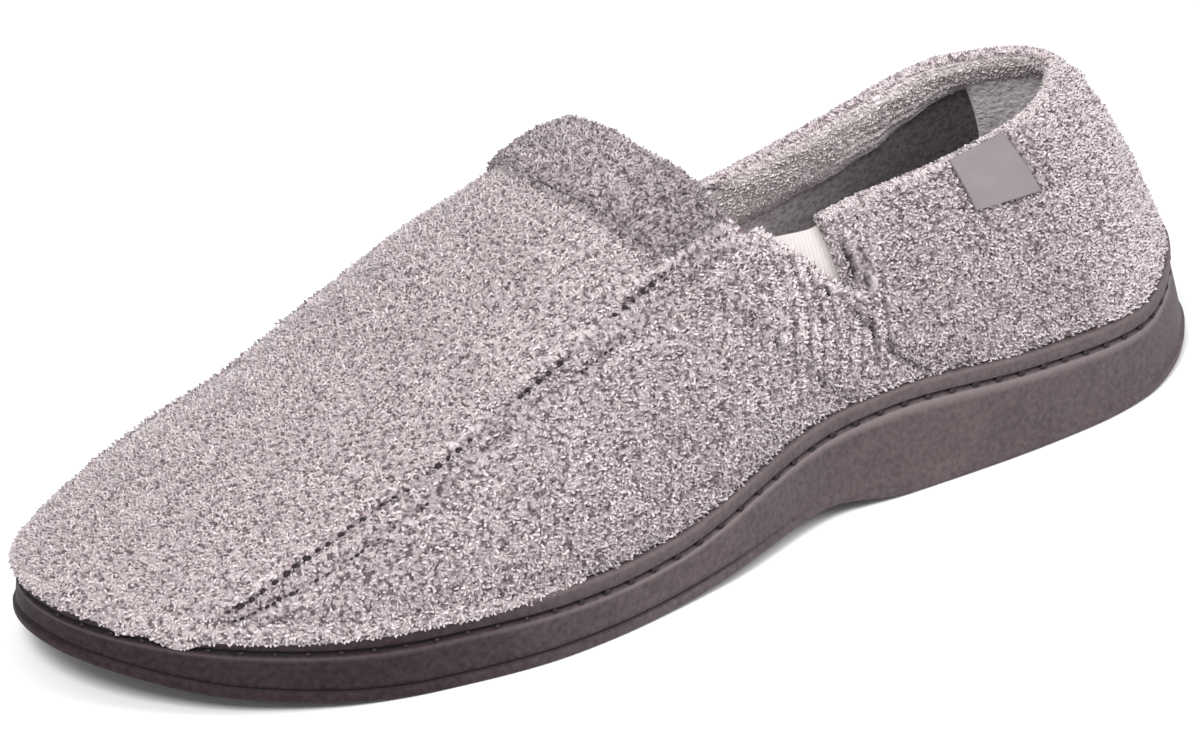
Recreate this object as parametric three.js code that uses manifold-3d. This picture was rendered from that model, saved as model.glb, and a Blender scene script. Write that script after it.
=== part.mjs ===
import * as THREE from 'three';
import { mergeVertices } from 'three/addons/utils/BufferGeometryUtils.js';
import Module from 'manifold-3d';

// Moccasin slipper for the left foot, in millimetres.
// +X runs from heel to toe, +Y to the outer side of the foot, +Z up.

const wasm = await Module();
wasm.setup();

// Main sizes
const soleLength = 292;
const ballWidth = 101;
const instepRise = 58.5; // throat above the rim of the heel
const collarRise = 48.5; // heel collar above the rim of the heel
const upperWall = 2.4;

// Sole sizes
const heelSide = 21.5; // rim above the floor beside the heel
const foreSide = 14.6; // rim above the floor beside the ball of the foot
const archLift = 4.2;
const toeSpring = 9.8;
const heelBevel = 3.7;
const heelSlant = 3.1; // how far the rim stands in from the foot of the sole at the back
const rimHeight = 4; // rim above the middle of the stitched groove
const grooveDepth = 1;
const grooveHalf = 0.8;
const edgeRound = 1;
const lipHeight = 2.2;
const lipStep = 0.6;
const soleFlare = 1;
const ledgeWidth = 5.5;
const trayTaper = 0.4;
const trayDepthFore = 4;
const heelSeat = 13.5; // floor of the tray under the heel, above the ground
const channelDepth = 1.2;
const channelWidth = 3;

// Insole, overlays and clearances
const insoleThickness = 4;
const insoleRound = 0.8;
const insoleEdgeGap = 0.6;
const seatGap = 0.3;
const rimInset = 1.5; // outer face of the upper inside the rim's edge
const cuffThickness = 3;
const panelRaise = 0.7; // wing panels and apron seam above the rest of the upper
const panelRoot = 1; // how deep the raised panels reach into the wall
const gussetThickness = 1.2;
const tabThickness = 1;

// Finish of the three materials
const terryColour = 0xb0a6a8;
const rubberColour = 0x5c5052;
const elasticColour = 0xcfc8c8;
const tabColour = 0x9a9496;

// Plan of the sole: half widths on each side, as shares of ballWidth, at shares of soleLength
const outlineTable = [
  { at: 0.0, lateral: 0.327, medial: 0.327 },
  { at: 0.12, lateral: 0.392, medial: 0.371 },
  { at: 0.27, lateral: 0.419, medial: 0.351 },
  { at: 0.42, lateral: 0.412, medial: 0.342 },
  { at: 0.56, lateral: 0.507, medial: 0.406 },
  { at: 0.7, lateral: 0.547, medial: 0.455 },
  { at: 0.84, lateral: 0.48, medial: 0.421 },
  { at: 1.0, lateral: 0.381, medial: 0.386 },
];
const heelRound = { share: 0.193, power: 2.3 };
const toeRound = { share: 0.2, power: 2.15 };
const slantShare = 0.15; // share of soleLength over which the heel's slant fades

// Side of the sole: thickness from foreSide (0) to heelSide (1), shares of arch, spring and bevel,
// and seat: how far the tray's floor has come from following the rim (0) to heelSeat (1)
const sideTable = [
  { at: 0.0, thickness: 1.15, arch: 0, spring: 0, bevel: 1, seat: 1 },
  { at: 0.06, thickness: 1.1, arch: 0, spring: 0, bevel: 0.3, seat: 1 },
  { at: 0.12, thickness: 1.0, arch: 0, spring: 0, bevel: 0, seat: 1 },
  { at: 0.25, thickness: 1.21, arch: 0, spring: 0, bevel: 0, seat: 1 },
  { at: 0.36, thickness: 1.5, arch: 0.05, spring: 0, bevel: 0, seat: 1 },
  { at: 0.44, thickness: 0.76, arch: 0.85, spring: 0, bevel: 0, seat: 1 },
  { at: 0.52, thickness: 0.46, arch: 0.65, spring: 0, bevel: 0, seat: 0.85 },
  { at: 0.6, thickness: 0.06, arch: 0.14, spring: 0, bevel: 0, seat: 0.4 },
  { at: 0.66, thickness: 0.0, arch: 0, spring: 0, bevel: 0, seat: 0 },
  { at: 0.8, thickness: 0.06, arch: 0, spring: 0, bevel: 0, seat: 0 },
  { at: 0.92, thickness: -0.09, arch: 0, spring: 0.37, bevel: 0, seat: 0 },
  { at: 1.0, thickness: -0.45, arch: 0, spring: 1, bevel: 0, seat: 0 },
];

// Sections of the last, by the way round the sole from heel (0) to toe (1).
// ridge: share of soleLength; rise: share of instepRise above the heel's rim; low and high: handles
// of the curve from rim to ridge; the bulges, in degrees, tip its foot outward on each side
const lastTable = [
  { at: 0.0, ridge: 0.236, rise: 1.056, low: 0.49, high: 0.64, lateral: -24, medial: -24 },
  { at: 0.1, ridge: 0.247, rise: 1.061, low: 0.48, high: 0.64, lateral: -23, medial: -25 },
  { at: 0.2, ridge: 0.273, rise: 1.076, low: 0.46, high: 0.61, lateral: -15, medial: -28 },
  { at: 0.28, ridge: 0.307, rise: 1.093, low: 0.435, high: 0.575, lateral: -6, medial: -31 },
  { at: 0.36, ridge: 0.353, rise: 1.105, low: 0.43, high: 0.565, lateral: 1, medial: -30 },
  { at: 0.43, ridge: 0.414, rise: 1.09, low: 0.48, high: 0.6, lateral: 6, medial: -24 },
  { at: 0.49, ridge: 0.483, rise: 1.029, low: 0.52, high: 0.64, lateral: 7, medial: -10 },
  { at: 0.545, ridge: 0.558, rise: 0.949, low: 0.54, high: 0.64, lateral: 7, medial: 0 },
  { at: 0.6, ridge: 0.627, rise: 0.822, low: 0.52, high: 0.6, lateral: 7, medial: 2 },
  { at: 0.66, ridge: 0.695, rise: 0.638, low: 0.5, high: 0.58, lateral: 7, medial: 2 },
  { at: 0.72, ridge: 0.75, rise: 0.463, low: 0.46, high: 0.58, lateral: 7, medial: 3 },
  { at: 0.8, ridge: 0.824, rise: 0.315, low: 0.42, high: 0.58, lateral: 7, medial: 4 },
  { at: 0.9, ridge: 0.873, rise: 0.217, low: 0.4, high: 0.58, lateral: 7, medial: 6 },
  { at: 1.0, ridge: 0.904, rise: 0.171, low: 0.45, high: 0.6, lateral: 7, medial: 7 },
];

// Collar and throat in side view, at shares of soleLength: heights above the heel's rim on each
// side, as shares of collarRise behind the notch and of instepRise in front of it
const collarTable = [
  { at: 0.068, lateral: 1.006, medial: 1.006 },
  { at: 0.113, lateral: 1.002, medial: 1.0 },
  { at: 0.171, lateral: 0.979, medial: 0.957 },
  { at: 0.205, lateral: 0.963, medial: 0.901 },
  { at: 0.257, lateral: 0.94, medial: 0.816 },
  { at: 0.325, lateral: 0.918, medial: 0.703 },
  { at: 0.377, lateral: 0.911, medial: 0.625 },
  { at: 0.421, lateral: 0.882, medial: 0.6 },
];
const throatTable = [
  { at: 0.4726, lateral: 0.754, medial: 0.615 },
  { at: 0.4863, lateral: 0.752, medial: 0.684 },
  { at: 0.4966, lateral: 0.812, medial: 0.778 },
  { at: 0.5034, lateral: 0.879, medial: 0.855 },
  { at: 0.5103, lateral: 0.937, medial: 0.928 },
  { at: 0.5171, lateral: 0.969, medial: 0.969 },
  { at: 0.5219, lateral: 1.0, medial: 1.0 },
];
const notchDepth = { lateral: 0.336, medial: 0.2 }; // shares of collarRise below the quarter's corner
const notchFoot = 0.406; // share of soleLength

// Seams, by the share of the way from rim to ridge: apron seam by way round, wing seams by height
const apronTable = [
  { at: 0.49, lower: 0.532, upper: 0.582 },
  { at: 0.53, lower: 0.522, upper: 0.576 },
  { at: 0.56, lower: 0.512, upper: 0.566 },
  { at: 0.6, lower: 0.494, upper: 0.55 },
  { at: 0.64, lower: 0.478, upper: 0.535 },
  { at: 0.68, lower: 0.446, upper: 0.516 },
  { at: 0.72, lower: 0.395, upper: 0.487 },
  { at: 0.76, lower: 0.305, upper: 0.42 },
  { at: 0.79, lower: 0.222, upper: 0.322 },
  { at: 0.81, lower: 0.13, upper: 0.22 },
  { at: 0.83, lower: 0.03, upper: 0.12 },
];
const wingFrontTable = [
  { at: 0.0, way: 0.442 },
  { at: 0.1, way: 0.463 },
  { at: 0.2, way: 0.482 },
  { at: 0.3, way: 0.498 },
  { at: 0.4, way: 0.514 },
  { at: 0.5, way: 0.53 },
  { at: 0.6, way: 0.544 },
  { at: 0.66, way: 0.545 },
  { at: 0.73, way: 0.549 },
  { at: 0.8, way: 0.553 },
  { at: 0.9, way: 0.56 },
  { at: 1.0, way: 0.565 },
];
const wingRearTable = [
  { at: 0.0, way: 0.39 },
  { at: 0.05, way: 0.405 },
  { at: 0.1, way: 0.417 },
  { at: 0.15, way: 0.426 },
  { at: 0.23, way: 0.435 },
  { at: 0.27, way: 0.44 },
  { at: 0.35, way: 0.454 },
  { at: 0.4, way: 0.462 },
  { at: 0.45, way: 0.47 },
  { at: 0.5, way: 0.479 },
];
const wingTop = 0.5;
const cuffFoot = 0.602;
const apronStart = 0.512; // way round just ahead of the throat edge
const apronEnd = 0.83;
const tabPlace = { rear: 0.29, front: 0.346, foot: 0.38, top: 0.985 };
const gussetPlace = { rear: 0.416, front: 0.49, foot: 0.18, top: 0.95 };

// How the overlays thin out towards their edges: share across, share of the thickness
const pillowTable = [
  { at: 0.0, full: 0.6 },
  { at: 0.1, full: 0.9 },
  { at: 0.25, full: 1.0 },
  { at: 0.75, full: 1.0 },
  { at: 0.9, full: 0.9 },
  { at: 1.0, full: 0.6 },
];

// Number of facets
const rowsOuter = 12;
const rowsInner = 12;
const soleSteps = 44;

// Smooth curve through one column of a table that never overshoots its rows
function along(table, x, column) {
  const last = table.length - 2;
  const slopes = [];
  for (let i = 0; i <= last; i += 1) {
    slopes.push((table[i + 1][column] - table[i][column]) / (table[i + 1].at - table[i].at));
  }
  const tangent = (i) => {
    if (i === 0) return slopes[0];
    if (i > last) return slopes[last];
    if (slopes[i - 1] * slopes[i] <= 0) return 0;
    const before = table[i].at - table[i - 1].at;
    const after = table[i + 1].at - table[i].at;
    const first = 2 * after + before;
    const second = after + 2 * before;
    return (first + second) / (first / slopes[i - 1] + second / slopes[i]);
  };
  let row = 0;
  while (row < last && x >= table[row + 1].at) row += 1;
  const span = table[row + 1].at - table[row].at;
  const u = THREE.MathUtils.clamp((x - table[row].at) / span, 0, 1);
  const start = (1 + 2 * u) * (1 - u) ** 2 * table[row][column];
  const leave = u * (1 - u) ** 2 * span * tangent(row);
  const arrive = u * u * (3 - 2 * u) * table[row + 1][column];
  const land = u * u * (u - 1) * span * tangent(row + 1);
  return start + leave + arrive + land;
}

// Way round the sole: 0 at the heel, 1 at the toe by the outer side, negative by the inner side
const wrapWay = (way) => THREE.MathUtils.euclideanModulo(way + 1, 2) - 1;
const shareOf = (way) => (1 - Math.cos(Math.PI * Math.abs(wrapWay(way)))) / 2;
const sideOf = (way) => (wrapWay(way) >= 0 ? 'lateral' : 'medial');

function roundEnds(share) {
  const heel = Math.max(0, (heelRound.share - share) / heelRound.share);
  const toe = Math.max(0, (share - 1 + toeRound.share) / toeRound.share);
  const atHeel = (1 - heel ** heelRound.power) ** (1 / heelRound.power);
  const atToe = (1 - Math.min(1, toe) ** toeRound.power) ** (1 / toeRound.power);
  return atHeel * atToe;
}

function outline(way) {
  const share = shareOf(way);
  const side = sideOf(way);
  const half = along(outlineTable, share, side) * ballWidth * roundEnds(share);
  return new THREE.Vector2(share * soleLength, side === 'lateral' ? half : -half);
}

function outward(way) {
  const step = 0.002;
  const run = outline(way + step).sub(outline(way - step));
  return new THREE.Vector2(-run.y, run.x).normalize();
}

const outlineOff = (way, out) => outline(way).addScaledVector(outward(way), out);

function bottomAt(share) {
  const arch = along(sideTable, share, 'arch') * archLift;
  const spring = along(sideTable, share, 'spring') * toeSpring;
  return arch + spring + along(sideTable, share, 'bevel') * heelBevel;
}

function rimAt(share) {
  return bottomAt(share) + foreSide + along(sideTable, share, 'thickness') * (heelSide - foreSide);
}

function trayAt(share) {
  const following = rimAt(share) - trayDepthFore;
  return following + (heelSeat - following) * along(sideTable, share, 'seat');
}

const slantAt = (share) => heelSlant * (1 - THREE.MathUtils.smoothstep(share, 0, slantShare));

// Point on the last: rise runs from the rim of the sole (0) to the ridge (1)
function lastPoint(way, rise) {
  const turn = wrapWay(way);
  const round = Math.abs(turn);
  const feather = outlineOff(turn, -rimInset - slantAt(shareOf(turn)));
  const foot = new THREE.Vector3(feather.x, feather.y, rimAt(shareOf(turn)) + seatGap);
  const ridge = ridgePoint(round);
  const out = outward(turn);
  const bulge = THREE.MathUtils.degToRad(along(lastTable, round, sideOf(turn)));
  const low = (ridge.z - foot.z) * along(lastTable, round, 'low');
  const lean = new THREE.Vector3(out.x * Math.sin(bulge), out.y * Math.sin(bulge), Math.cos(bulge));
  const flat = new THREE.Vector3(foot.x - ridge.x, foot.y - ridge.y, ridgeSlope(round) * (foot.x - ridge.x));
  const first = foot.clone().addScaledVector(lean, low);
  const second = ridge.clone().addScaledVector(flat, along(lastTable, round, 'high'));
  return new THREE.CubicBezierCurve3(foot, first, second, ridge).getPoint(rise);
}

function ridgePoint(round) {
  const share = along(lastTable, round, 'ridge');
  return new THREE.Vector3(share * soleLength, 0, heelSide + along(lastTable, round, 'rise') * instepRise);
}

function ridgeSlope(round) {
  const step = 0.001;
  const before = ridgePoint(Math.max(0, round - step));
  const after = ridgePoint(Math.min(1, round + step));
  return (after.z - before.z) / (after.x - before.x);
}

// Point at a distance outside (or, negative, inside) the last's face
function facePoint(way, rise, out) {
  const point = lastPoint(way, rise);
  if (rise > 1 - 1e-9) {
    const normal = new THREE.Vector3(-ridgeSlope(Math.abs(wrapWay(way))), 0, 1).normalize();
    return point.addScaledVector(normal, out);
  }
  const step = 0.001;
  const round = lastPoint(way + step, rise).sub(lastPoint(way - step, rise));
  const up = lastPoint(way, Math.min(1, rise + step)).sub(lastPoint(way, Math.max(0, rise - step)));
  const normal = up.cross(round);
  if (rise < 1e-9) normal.z = 0;
  return point.addScaledVector(normal.normalize(), out);
}

// Height of the collar or throat edge over the sole, in side view
function edgeHeight(share, side) {
  const collarFront = collarTable[collarTable.length - 1].at;
  const throatRear = throatTable[0].at;
  const rearHeight = along(collarTable, Math.min(share, collarFront), side) * collarRise;
  const frontHeight = along(throatTable, Math.max(share, throatRear), side) * instepRise;
  const blend = THREE.MathUtils.smoothstep(share, collarFront, throatRear);
  return heelSide + rearHeight + (frontHeight - rearHeight) * blend;
}

// Where the throat closes over the instep
const throatShare = throatTable[throatTable.length - 1].at;
const throatWay = bisect((way) => along(lastTable, way, 'ridge') > throatShare, 0, 1);

// First value between two ends for which a test holds
function bisect(test, from, to) {
  let low = from;
  let high = to;
  for (let i = 0; i < 40; i += 1) {
    const middle = (low + high) / 2;
    if (test(middle)) high = middle;
    else low = middle;
  }
  return high;
}

// Share of the way to the ridge at which a section of the last is cut off by collar or throat
const openLimit = 0.985;
function topOf(way) {
  const round = Math.abs(wrapWay(way));
  if (round >= throatWay - 1e-9) return 1;
  const side = sideOf(way);
  const above = (rise) => {
    const point = lastPoint(way, rise);
    return point.z > edgeHeight(point.x / soleLength, side);
  };
  return bisect(above, 0.2, openLimit);
}

// Way round at which the throat edge crosses a given height
const rearEdge = (rise, sign) => bisect((way) => topOf(sign * way) >= rise, 0.45, throatWay);

// Closed body between two grids of points that face each other
function shellBetween(outer, inner, loop, openTop) {
  const positions = [];
  const quad = (a, b, c, d) => {
    for (const p of [a, b, c, a, c, d]) positions.push(p.x, p.y, p.z);
  };
  const columns = outer.length;
  const top = outer[0].length - 1;
  const last = loop ? columns : columns - 1;
  for (let i = 0; i < last; i += 1) {
    const k = (i + 1) % columns;
    for (let j = 0; j < top; j += 1) {
      quad(outer[i][j], outer[i][j + 1], outer[k][j + 1], outer[k][j]);
      quad(inner[i][j], inner[k][j], inner[k][j + 1], inner[i][j + 1]);
    }
    quad(outer[i][0], outer[k][0], inner[k][0], inner[i][0]);
    if (openTop(i) || openTop(k)) quad(outer[i][top], inner[i][top], inner[k][top], outer[k][top]);
  }
  if (!loop) {
    for (let j = 0; j < top; j += 1) {
      quad(outer[0][j], inner[0][j], inner[0][j + 1], outer[0][j + 1]);
      quad(outer[last][j], outer[last][j + 1], inner[last][j + 1], inner[last][j]);
    }
  }
  return closedGeometry(positions);
}

// Closed body of rings around the sole, each ring a list of points, capped across at both ends
function ringBody(rings) {
  const positions = [];
  const quad = (a, b, c, d) => {
    for (const p of [a, b, c, a, c, d]) positions.push(p.x, p.y, p.z);
  };
  const around = rings[0].length;
  for (let r = 0; r < rings.length - 1; r += 1) {
    for (let i = 0; i < around; i += 1) {
      const k = (i + 1) % around;
      quad(rings[r][i], rings[r + 1][i], rings[r + 1][k], rings[r][k]);
    }
  }
  const first = rings[0];
  const end = rings[rings.length - 1];
  const half = around / 2;
  for (let i = 0; i < half; i += 1) {
    const a = i;
    const b = i + 1;
    const c = (around - i - 1) % around;
    const d = (around - i) % around;
    quad(first[a], first[b], first[c], first[d]);
    quad(end[a], end[d], end[c], end[b]);
  }
  return closedGeometry(positions);
}

// Merges the corners, drops flat triangles and makes the faces point outward
function closedGeometry(positions) {
  const loose = new THREE.BufferGeometry();
  loose.setAttribute('position', new THREE.Float32BufferAttribute(positions, 3));
  const merged = mergeVertices(loose, 1e-4);
  const index = merged.getIndex().array;
  const place = merged.getAttribute('position');
  const kept = [];
  let volume = 0;
  const [a, b, c] = [new THREE.Vector3(), new THREE.Vector3(), new THREE.Vector3()];
  for (let t = 0; t < index.length; t += 3) {
    const [i, j, k] = [index[t], index[t + 1], index[t + 2]];
    if (i !== j && j !== k && k !== i) {
      kept.push(i, j, k);
      a.fromBufferAttribute(place, i);
      b.fromBufferAttribute(place, j);
      c.fromBufferAttribute(place, k);
      volume += a.dot(b.cross(c)) / 6;
    }
  }
  if (volume < 0) kept.reverse();
  merged.setIndex(kept);
  return merged;
}

function toSolid(geometry) {
  const vertProperties = new Float32Array(geometry.getAttribute('position').array);
  const triVerts = new Uint32Array(geometry.getIndex().array);
  return new wasm.Manifold(new wasm.Mesh({ numProp: 3, vertProperties, triVerts }));
}

function toGeometry(solid) {
  const mesh = solid.getMesh();
  const geometry = new THREE.BufferGeometry();
  geometry.setAttribute('position', new THREE.Float32BufferAttribute(mesh.vertProperties, 3));
  geometry.setIndex(Array.from(mesh.triVerts));
  return geometry;
}

const range = (from, to, steps) => Array.from({ length: steps }, (_, i) => from + ((to - from) * i) / steps);

// Way round of every section: close together where the throat edge climbs to the instep
const sideWays = [...range(0, 0.43, 16), ...range(0.43, throatWay, 10), ...range(throatWay, 1, 18)];
const allWays = [...sideWays, 1, ...sideWays.slice(1).reverse().map((way) => -way)];

// A patch of the last between two offsets, over way round and share of the way to the ridge
function patch(columns, rows, place, inside, outside) {
  const grid = (offset) => {
    const lines = [];
    for (let i = 0; i <= columns; i += 1) {
      const line = [];
      for (let j = 0; j <= rows; j += 1) {
        const [way, rise] = place(i / columns, j / rows);
        line.push(facePoint(way, rise, offset(i / columns, j / rows)));
      }
      lines.push(line);
    }
    return lines;
  };
  return shellBetween(grid(outside), grid(inside), false, () => true);
}

const pillow = (across) => along(pillowTable, across, 'full');

// Hollow upper: outer and inner face of one wall, open at the collar and underneath
function upperShell() {
  const grid = (out, rows) => {
    return allWays.map((way) => {
      const top = topOf(way);
      const line = [];
      for (let j = 0; j <= rows; j += 1) line.push(facePoint(way, (top * j) / rows, out));
      return line;
    });
  };
  const open = (i) => Math.abs(allWays[i]) < throatWay - 1e-9;
  return shellBetween(grid(0, rowsOuter), grid(-upperWall, rowsInner), true, open);
}

// Wing panel on one side, from the sole up to the cuff, between the front and rear seams
function wingPanel(sign) {
  const place = (across, up) => {
    const rise = 0.02 + (wingTop - 0.02) * up;
    const rear = along(wingRearTable, rise, 'way');
    const front = along(wingFrontTable, rise, 'way');
    const way = sign * (rear + (front - rear) * across);
    return [way, Math.min(rise, topOf(way) * 0.985)];
  };
  const outside = (across, up) => panelRaise * pillow(across) * pillow(0.5 + up / 2);
  return patch(8, 10, place, () => -panelRoot, outside);
}

// Raised apron seam on one side, from the cuff to the rim beside the toe
function apronSeam(sign) {
  const place = (around, across) => {
    const way = apronStart + (apronEnd - apronStart) * around;
    const lower = along(apronTable, way, 'lower');
    return [sign * way, lower + (along(apronTable, way, 'upper') - lower) * across];
  };
  const outside = (around, across) => panelRaise * pillow(across);
  return patch(20, 3, place, () => -panelRoot, outside);
}

// Prism along Y that cuts the notch between quarter and wing
function notchCutter(side) {
  const corner = collarTable[collarTable.length - 1].at;
  const wing = throatTable[0].at;
  const footHeight = edgeHeight(corner, side) - notchDepth[side] * collarRise;
  const clear = instepRise;
  const shape = new THREE.Shape([
    new THREE.Vector2(notchFoot * soleLength, footHeight),
    new THREE.Vector2(wing * soleLength, edgeHeight(wing, side) + seatGap),
    new THREE.Vector2(wing * soleLength, edgeHeight(wing, side) + clear),
    new THREE.Vector2((corner - 0.004) * soleLength, edgeHeight(wing, side) + clear),
    new THREE.Vector2((corner - 0.004) * soleLength, edgeHeight(corner, side)),
  ]);
  const prism = new THREE.ExtrudeGeometry(shape, { depth: ballWidth, bevelEnabled: false });
  prism.rotateX(Math.PI / 2);
  if (side === 'lateral') prism.translate(0, ballWidth, 0);
  prism.deleteAttribute('normal');
  prism.deleteAttribute('uv');
  return mergeVertices(prism);
}

function upperGeometry() {
  let solid = toSolid(upperShell());
  for (const sign of [1, -1]) solid = solid.add(toSolid(wingPanel(sign))).add(toSolid(apronSeam(sign)));
  for (const side of ['lateral', 'medial']) solid = solid.subtract(toSolid(notchCutter(side)));
  return toGeometry(solid);
}

// Thick turned cuff across the instep, from one apron seam to the other
function cuffGeometry() {
  const rows = 7;
  const steps = 7;
  const rises = range(cuffFoot, 1, rows);
  const lines = [...rises.map((rise) => [1, rise]), [1, 1], ...rises.slice().reverse().map((rise) => [-1, rise])];
  const grid = (offset) => {
    return lines.map(([sign, rise], i) => {
      const rear = rise < 1 ? rearEdge(rise, sign) : throatWay;
      const front = along(wingFrontTable, rise, 'way');
      const line = [];
      for (let j = 0; j <= steps; j += 1) {
        const way = sign * (rear + (front - rear) * (j / steps));
        line.push(facePoint(way, rise, offset(i / (lines.length - 1), j / steps)));
      }
      return line;
    });
  };
  const outside = (across, back) => seatGap + cuffThickness * pillow(across) * pillow(back);
  return shellBetween(grid(outside), grid(() => seatGap), false, () => true);
}

// Elastic gusset that closes the notch from inside
function gussetGeometry(sign) {
  const place = (across, up) => {
    const way = sign * (gussetPlace.rear + (gussetPlace.front - gussetPlace.rear) * across);
    const top = topOf(way) * gussetPlace.top;
    return [way, gussetPlace.foot + (top - gussetPlace.foot) * up];
  };
  const outside = -upperWall - seatGap;
  return patch(7, 5, place, () => outside - gussetThickness, () => outside);
}

// Blank label tab on the outer quarter, below the collar
function tabGeometry() {
  const place = (across, up) => {
    const way = tabPlace.rear + (tabPlace.front - tabPlace.rear) * across;
    const top = topOf(way) * tabPlace.top;
    return [way, tabPlace.foot + (top - tabPlace.foot) * up];
  };
  return patch(4, 4, place, () => seatGap, () => seatGap + tabThickness);
}

// Ring of points around the sole at an offset from its outline, slanted in at the heel or not
function ring(out, height, slant = slantAt) {
  const ways = range(-1, 1, soleSteps * 2).map((way) => wrapWay(way + 1));
  return ways.map((way) => {
    const share = shareOf(way);
    const place = outlineOff(way, out - slant(share));
    return new THREE.Vector3(place.x, place.y, height(share));
  });
}

// Unit sole: side wall with lower lip and stitched groove, rim ledge and a tray for the insole
function outsoleGeometry() {
  const groove = (share) => rimAt(share) - rimHeight;
  const upright = () => 0;
  const rings = [
    ring(soleFlare - edgeRound, bottomAt, upright),
    ring(soleFlare, (share) => bottomAt(share) + edgeRound, upright),
    ring(soleFlare, (share) => bottomAt(share) + lipHeight, upright),
    ring(soleFlare - lipStep, (share) => bottomAt(share) + lipHeight + lipStep, upright),
    ring(0, (share) => groove(share) - grooveHalf),
    ring(-grooveDepth, groove),
    ring(0, (share) => groove(share) + grooveHalf),
    ring(0, (share) => rimAt(share) - edgeRound),
    ring(-edgeRound, rimAt),
    ring(-ledgeWidth, rimAt),
    ring(-ledgeWidth - trayTaper, trayAt),
  ];
  let solid = toSolid(ringBody(rings));
  for (const share of [0.1, 0.145, 0.19, 0.235, 0.66, 0.7, 0.74, 0.78]) {
    solid = solid.subtract(toSolid(channel(share)));
  }
  return toGeometry(solid);
}

// Shallow cross channel in the underside
function channel(share) {
  const span = along(outlineTable, share, 'lateral') * ballWidth;
  const box = new THREE.BoxGeometry(channelWidth, span, channelDepth * 2);
  box.translate(share * soleLength, 0, 0);
  box.deleteAttribute('normal');
  box.deleteAttribute('uv');
  return mergeVertices(box);
}

function insoleGeometry() {
  const edge = -ledgeWidth - trayTaper - insoleEdgeGap;
  const under = (share) => trayAt(share) + seatGap;
  const over = (share) => under(share) + insoleThickness;
  const rings = [
    ring(edge - insoleRound, under),
    ring(edge, (share) => under(share) + insoleRound),
    ring(edge, (share) => over(share) - insoleRound),
    ring(edge - insoleRound, over),
  ];
  return ringBody(rings);
}

function finish(colour, roughness) {
  return new THREE.MeshStandardMaterial({ color: colour, roughness, metalness: 0 });
}

function named(name, geometry, material) {
  const mesh = new THREE.Mesh(geometry, material);
  mesh.name = name;
  return mesh;
}

const terry = finish(terryColour, 0.95);
const elastic = finish(elasticColour, 0.8);
const slipper = new THREE.Group();
slipper.add(named('outsole', outsoleGeometry(), finish(rubberColour, 0.6)));
slipper.add(named('insole', insoleGeometry(), terry));
slipper.add(named('upper', upperGeometry(), terry));
slipper.add(named('instep_cuff', cuffGeometry(), terry));
slipper.add(named('gusset_lateral', gussetGeometry(1), elastic));
slipper.add(named('gusset_medial', gussetGeometry(-1), elastic));
slipper.add(named('label_tab', tabGeometry(), finish(tabColour, 0.7)));

// The origin is at the middle of the footprint, on the floor
const box = new THREE.Box3().setFromObject(slipper);
const middle = box.getCenter(new THREE.Vector3());
slipper.position.set(-middle.x, -middle.y, -box.min.z);

export default slipper;
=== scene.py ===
"""Looks of a left moccasin slipper: heathered terry upper, turned cuff and a moulded sole."""
import math

import bmesh
import bpy
import numpy as np
from mathutils import Matrix, Vector


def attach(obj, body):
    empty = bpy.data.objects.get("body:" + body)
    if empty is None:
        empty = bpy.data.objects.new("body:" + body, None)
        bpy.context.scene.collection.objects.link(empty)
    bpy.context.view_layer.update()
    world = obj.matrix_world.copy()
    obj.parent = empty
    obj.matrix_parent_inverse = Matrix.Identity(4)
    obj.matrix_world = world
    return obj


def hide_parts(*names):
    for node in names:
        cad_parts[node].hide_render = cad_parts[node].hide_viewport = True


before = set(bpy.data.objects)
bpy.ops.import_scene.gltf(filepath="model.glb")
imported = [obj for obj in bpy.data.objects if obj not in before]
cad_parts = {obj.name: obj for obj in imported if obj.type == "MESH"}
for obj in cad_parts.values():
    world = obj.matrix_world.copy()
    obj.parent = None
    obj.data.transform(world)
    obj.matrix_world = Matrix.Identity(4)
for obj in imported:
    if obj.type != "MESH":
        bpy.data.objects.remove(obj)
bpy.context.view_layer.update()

# Sizes are in millimetres until a mesh is made. +X runs to the toe, +Y to the outer side.
MM = 0.001

# Points of a mesh that lie closer than this, in metres, become one
WELD = 2e-6

# Halvings in a search for the place where a test starts to hold
HALVINGS = 40

# Main sizes, as in the part's source
SOLE_LENGTH = 292.0
BALL_WIDTH = 101.0
INSTEP_RISE = 58.5
COLLAR_RISE = 48.5
UPPER_WALL = 2.4

# Sole sizes, as in the part's source
HEEL_SIDE = 21.5
FORE_SIDE = 14.6
ARCH_LIFT = 4.2
TOE_SPRING = 9.8
HEEL_BEVEL = 3.7
HEEL_SLANT = 3.1
SLANT_SHARE = 0.15
RIM_HEIGHT = 4.0
GROOVE_DEPTH = 1.0
GROOVE_HALF = 0.8
EDGE_ROUND = 1.0
LIP_HEIGHT = 2.2
LIP_STEP = 0.6
SOLE_FLARE = 1.0
LEDGE_WIDTH = 5.5
TRAY_TAPER = 0.4
TRAY_DEPTH_FORE = 4.0
HEEL_SEAT = 13.5
CHANNEL_DEPTH = 1.2
CHANNEL_WIDTH = 3.0
CHANNEL_SHARES = (0.1, 0.145, 0.19, 0.235, 0.66, 0.7, 0.74, 0.78)

# Insole, overlays and clearances, as in the part's source
INSOLE_THICKNESS = 4.0
INSOLE_ROUND = 0.8
INSOLE_EDGE_GAP = 0.6
SEAT_GAP = 0.3
RIM_INSET = 1.5
CUFF_THICKNESS = 3.0
PANEL_RAISE = 0.7
GUSSET_THICKNESS = 1.2
TAB_THICKNESS = 1.0


def table(names, *rows):
    """Columns of a table of sections by name."""
    return {name: np.array([row[i] for row in rows], float) for i, name in enumerate(names.split())}


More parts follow.
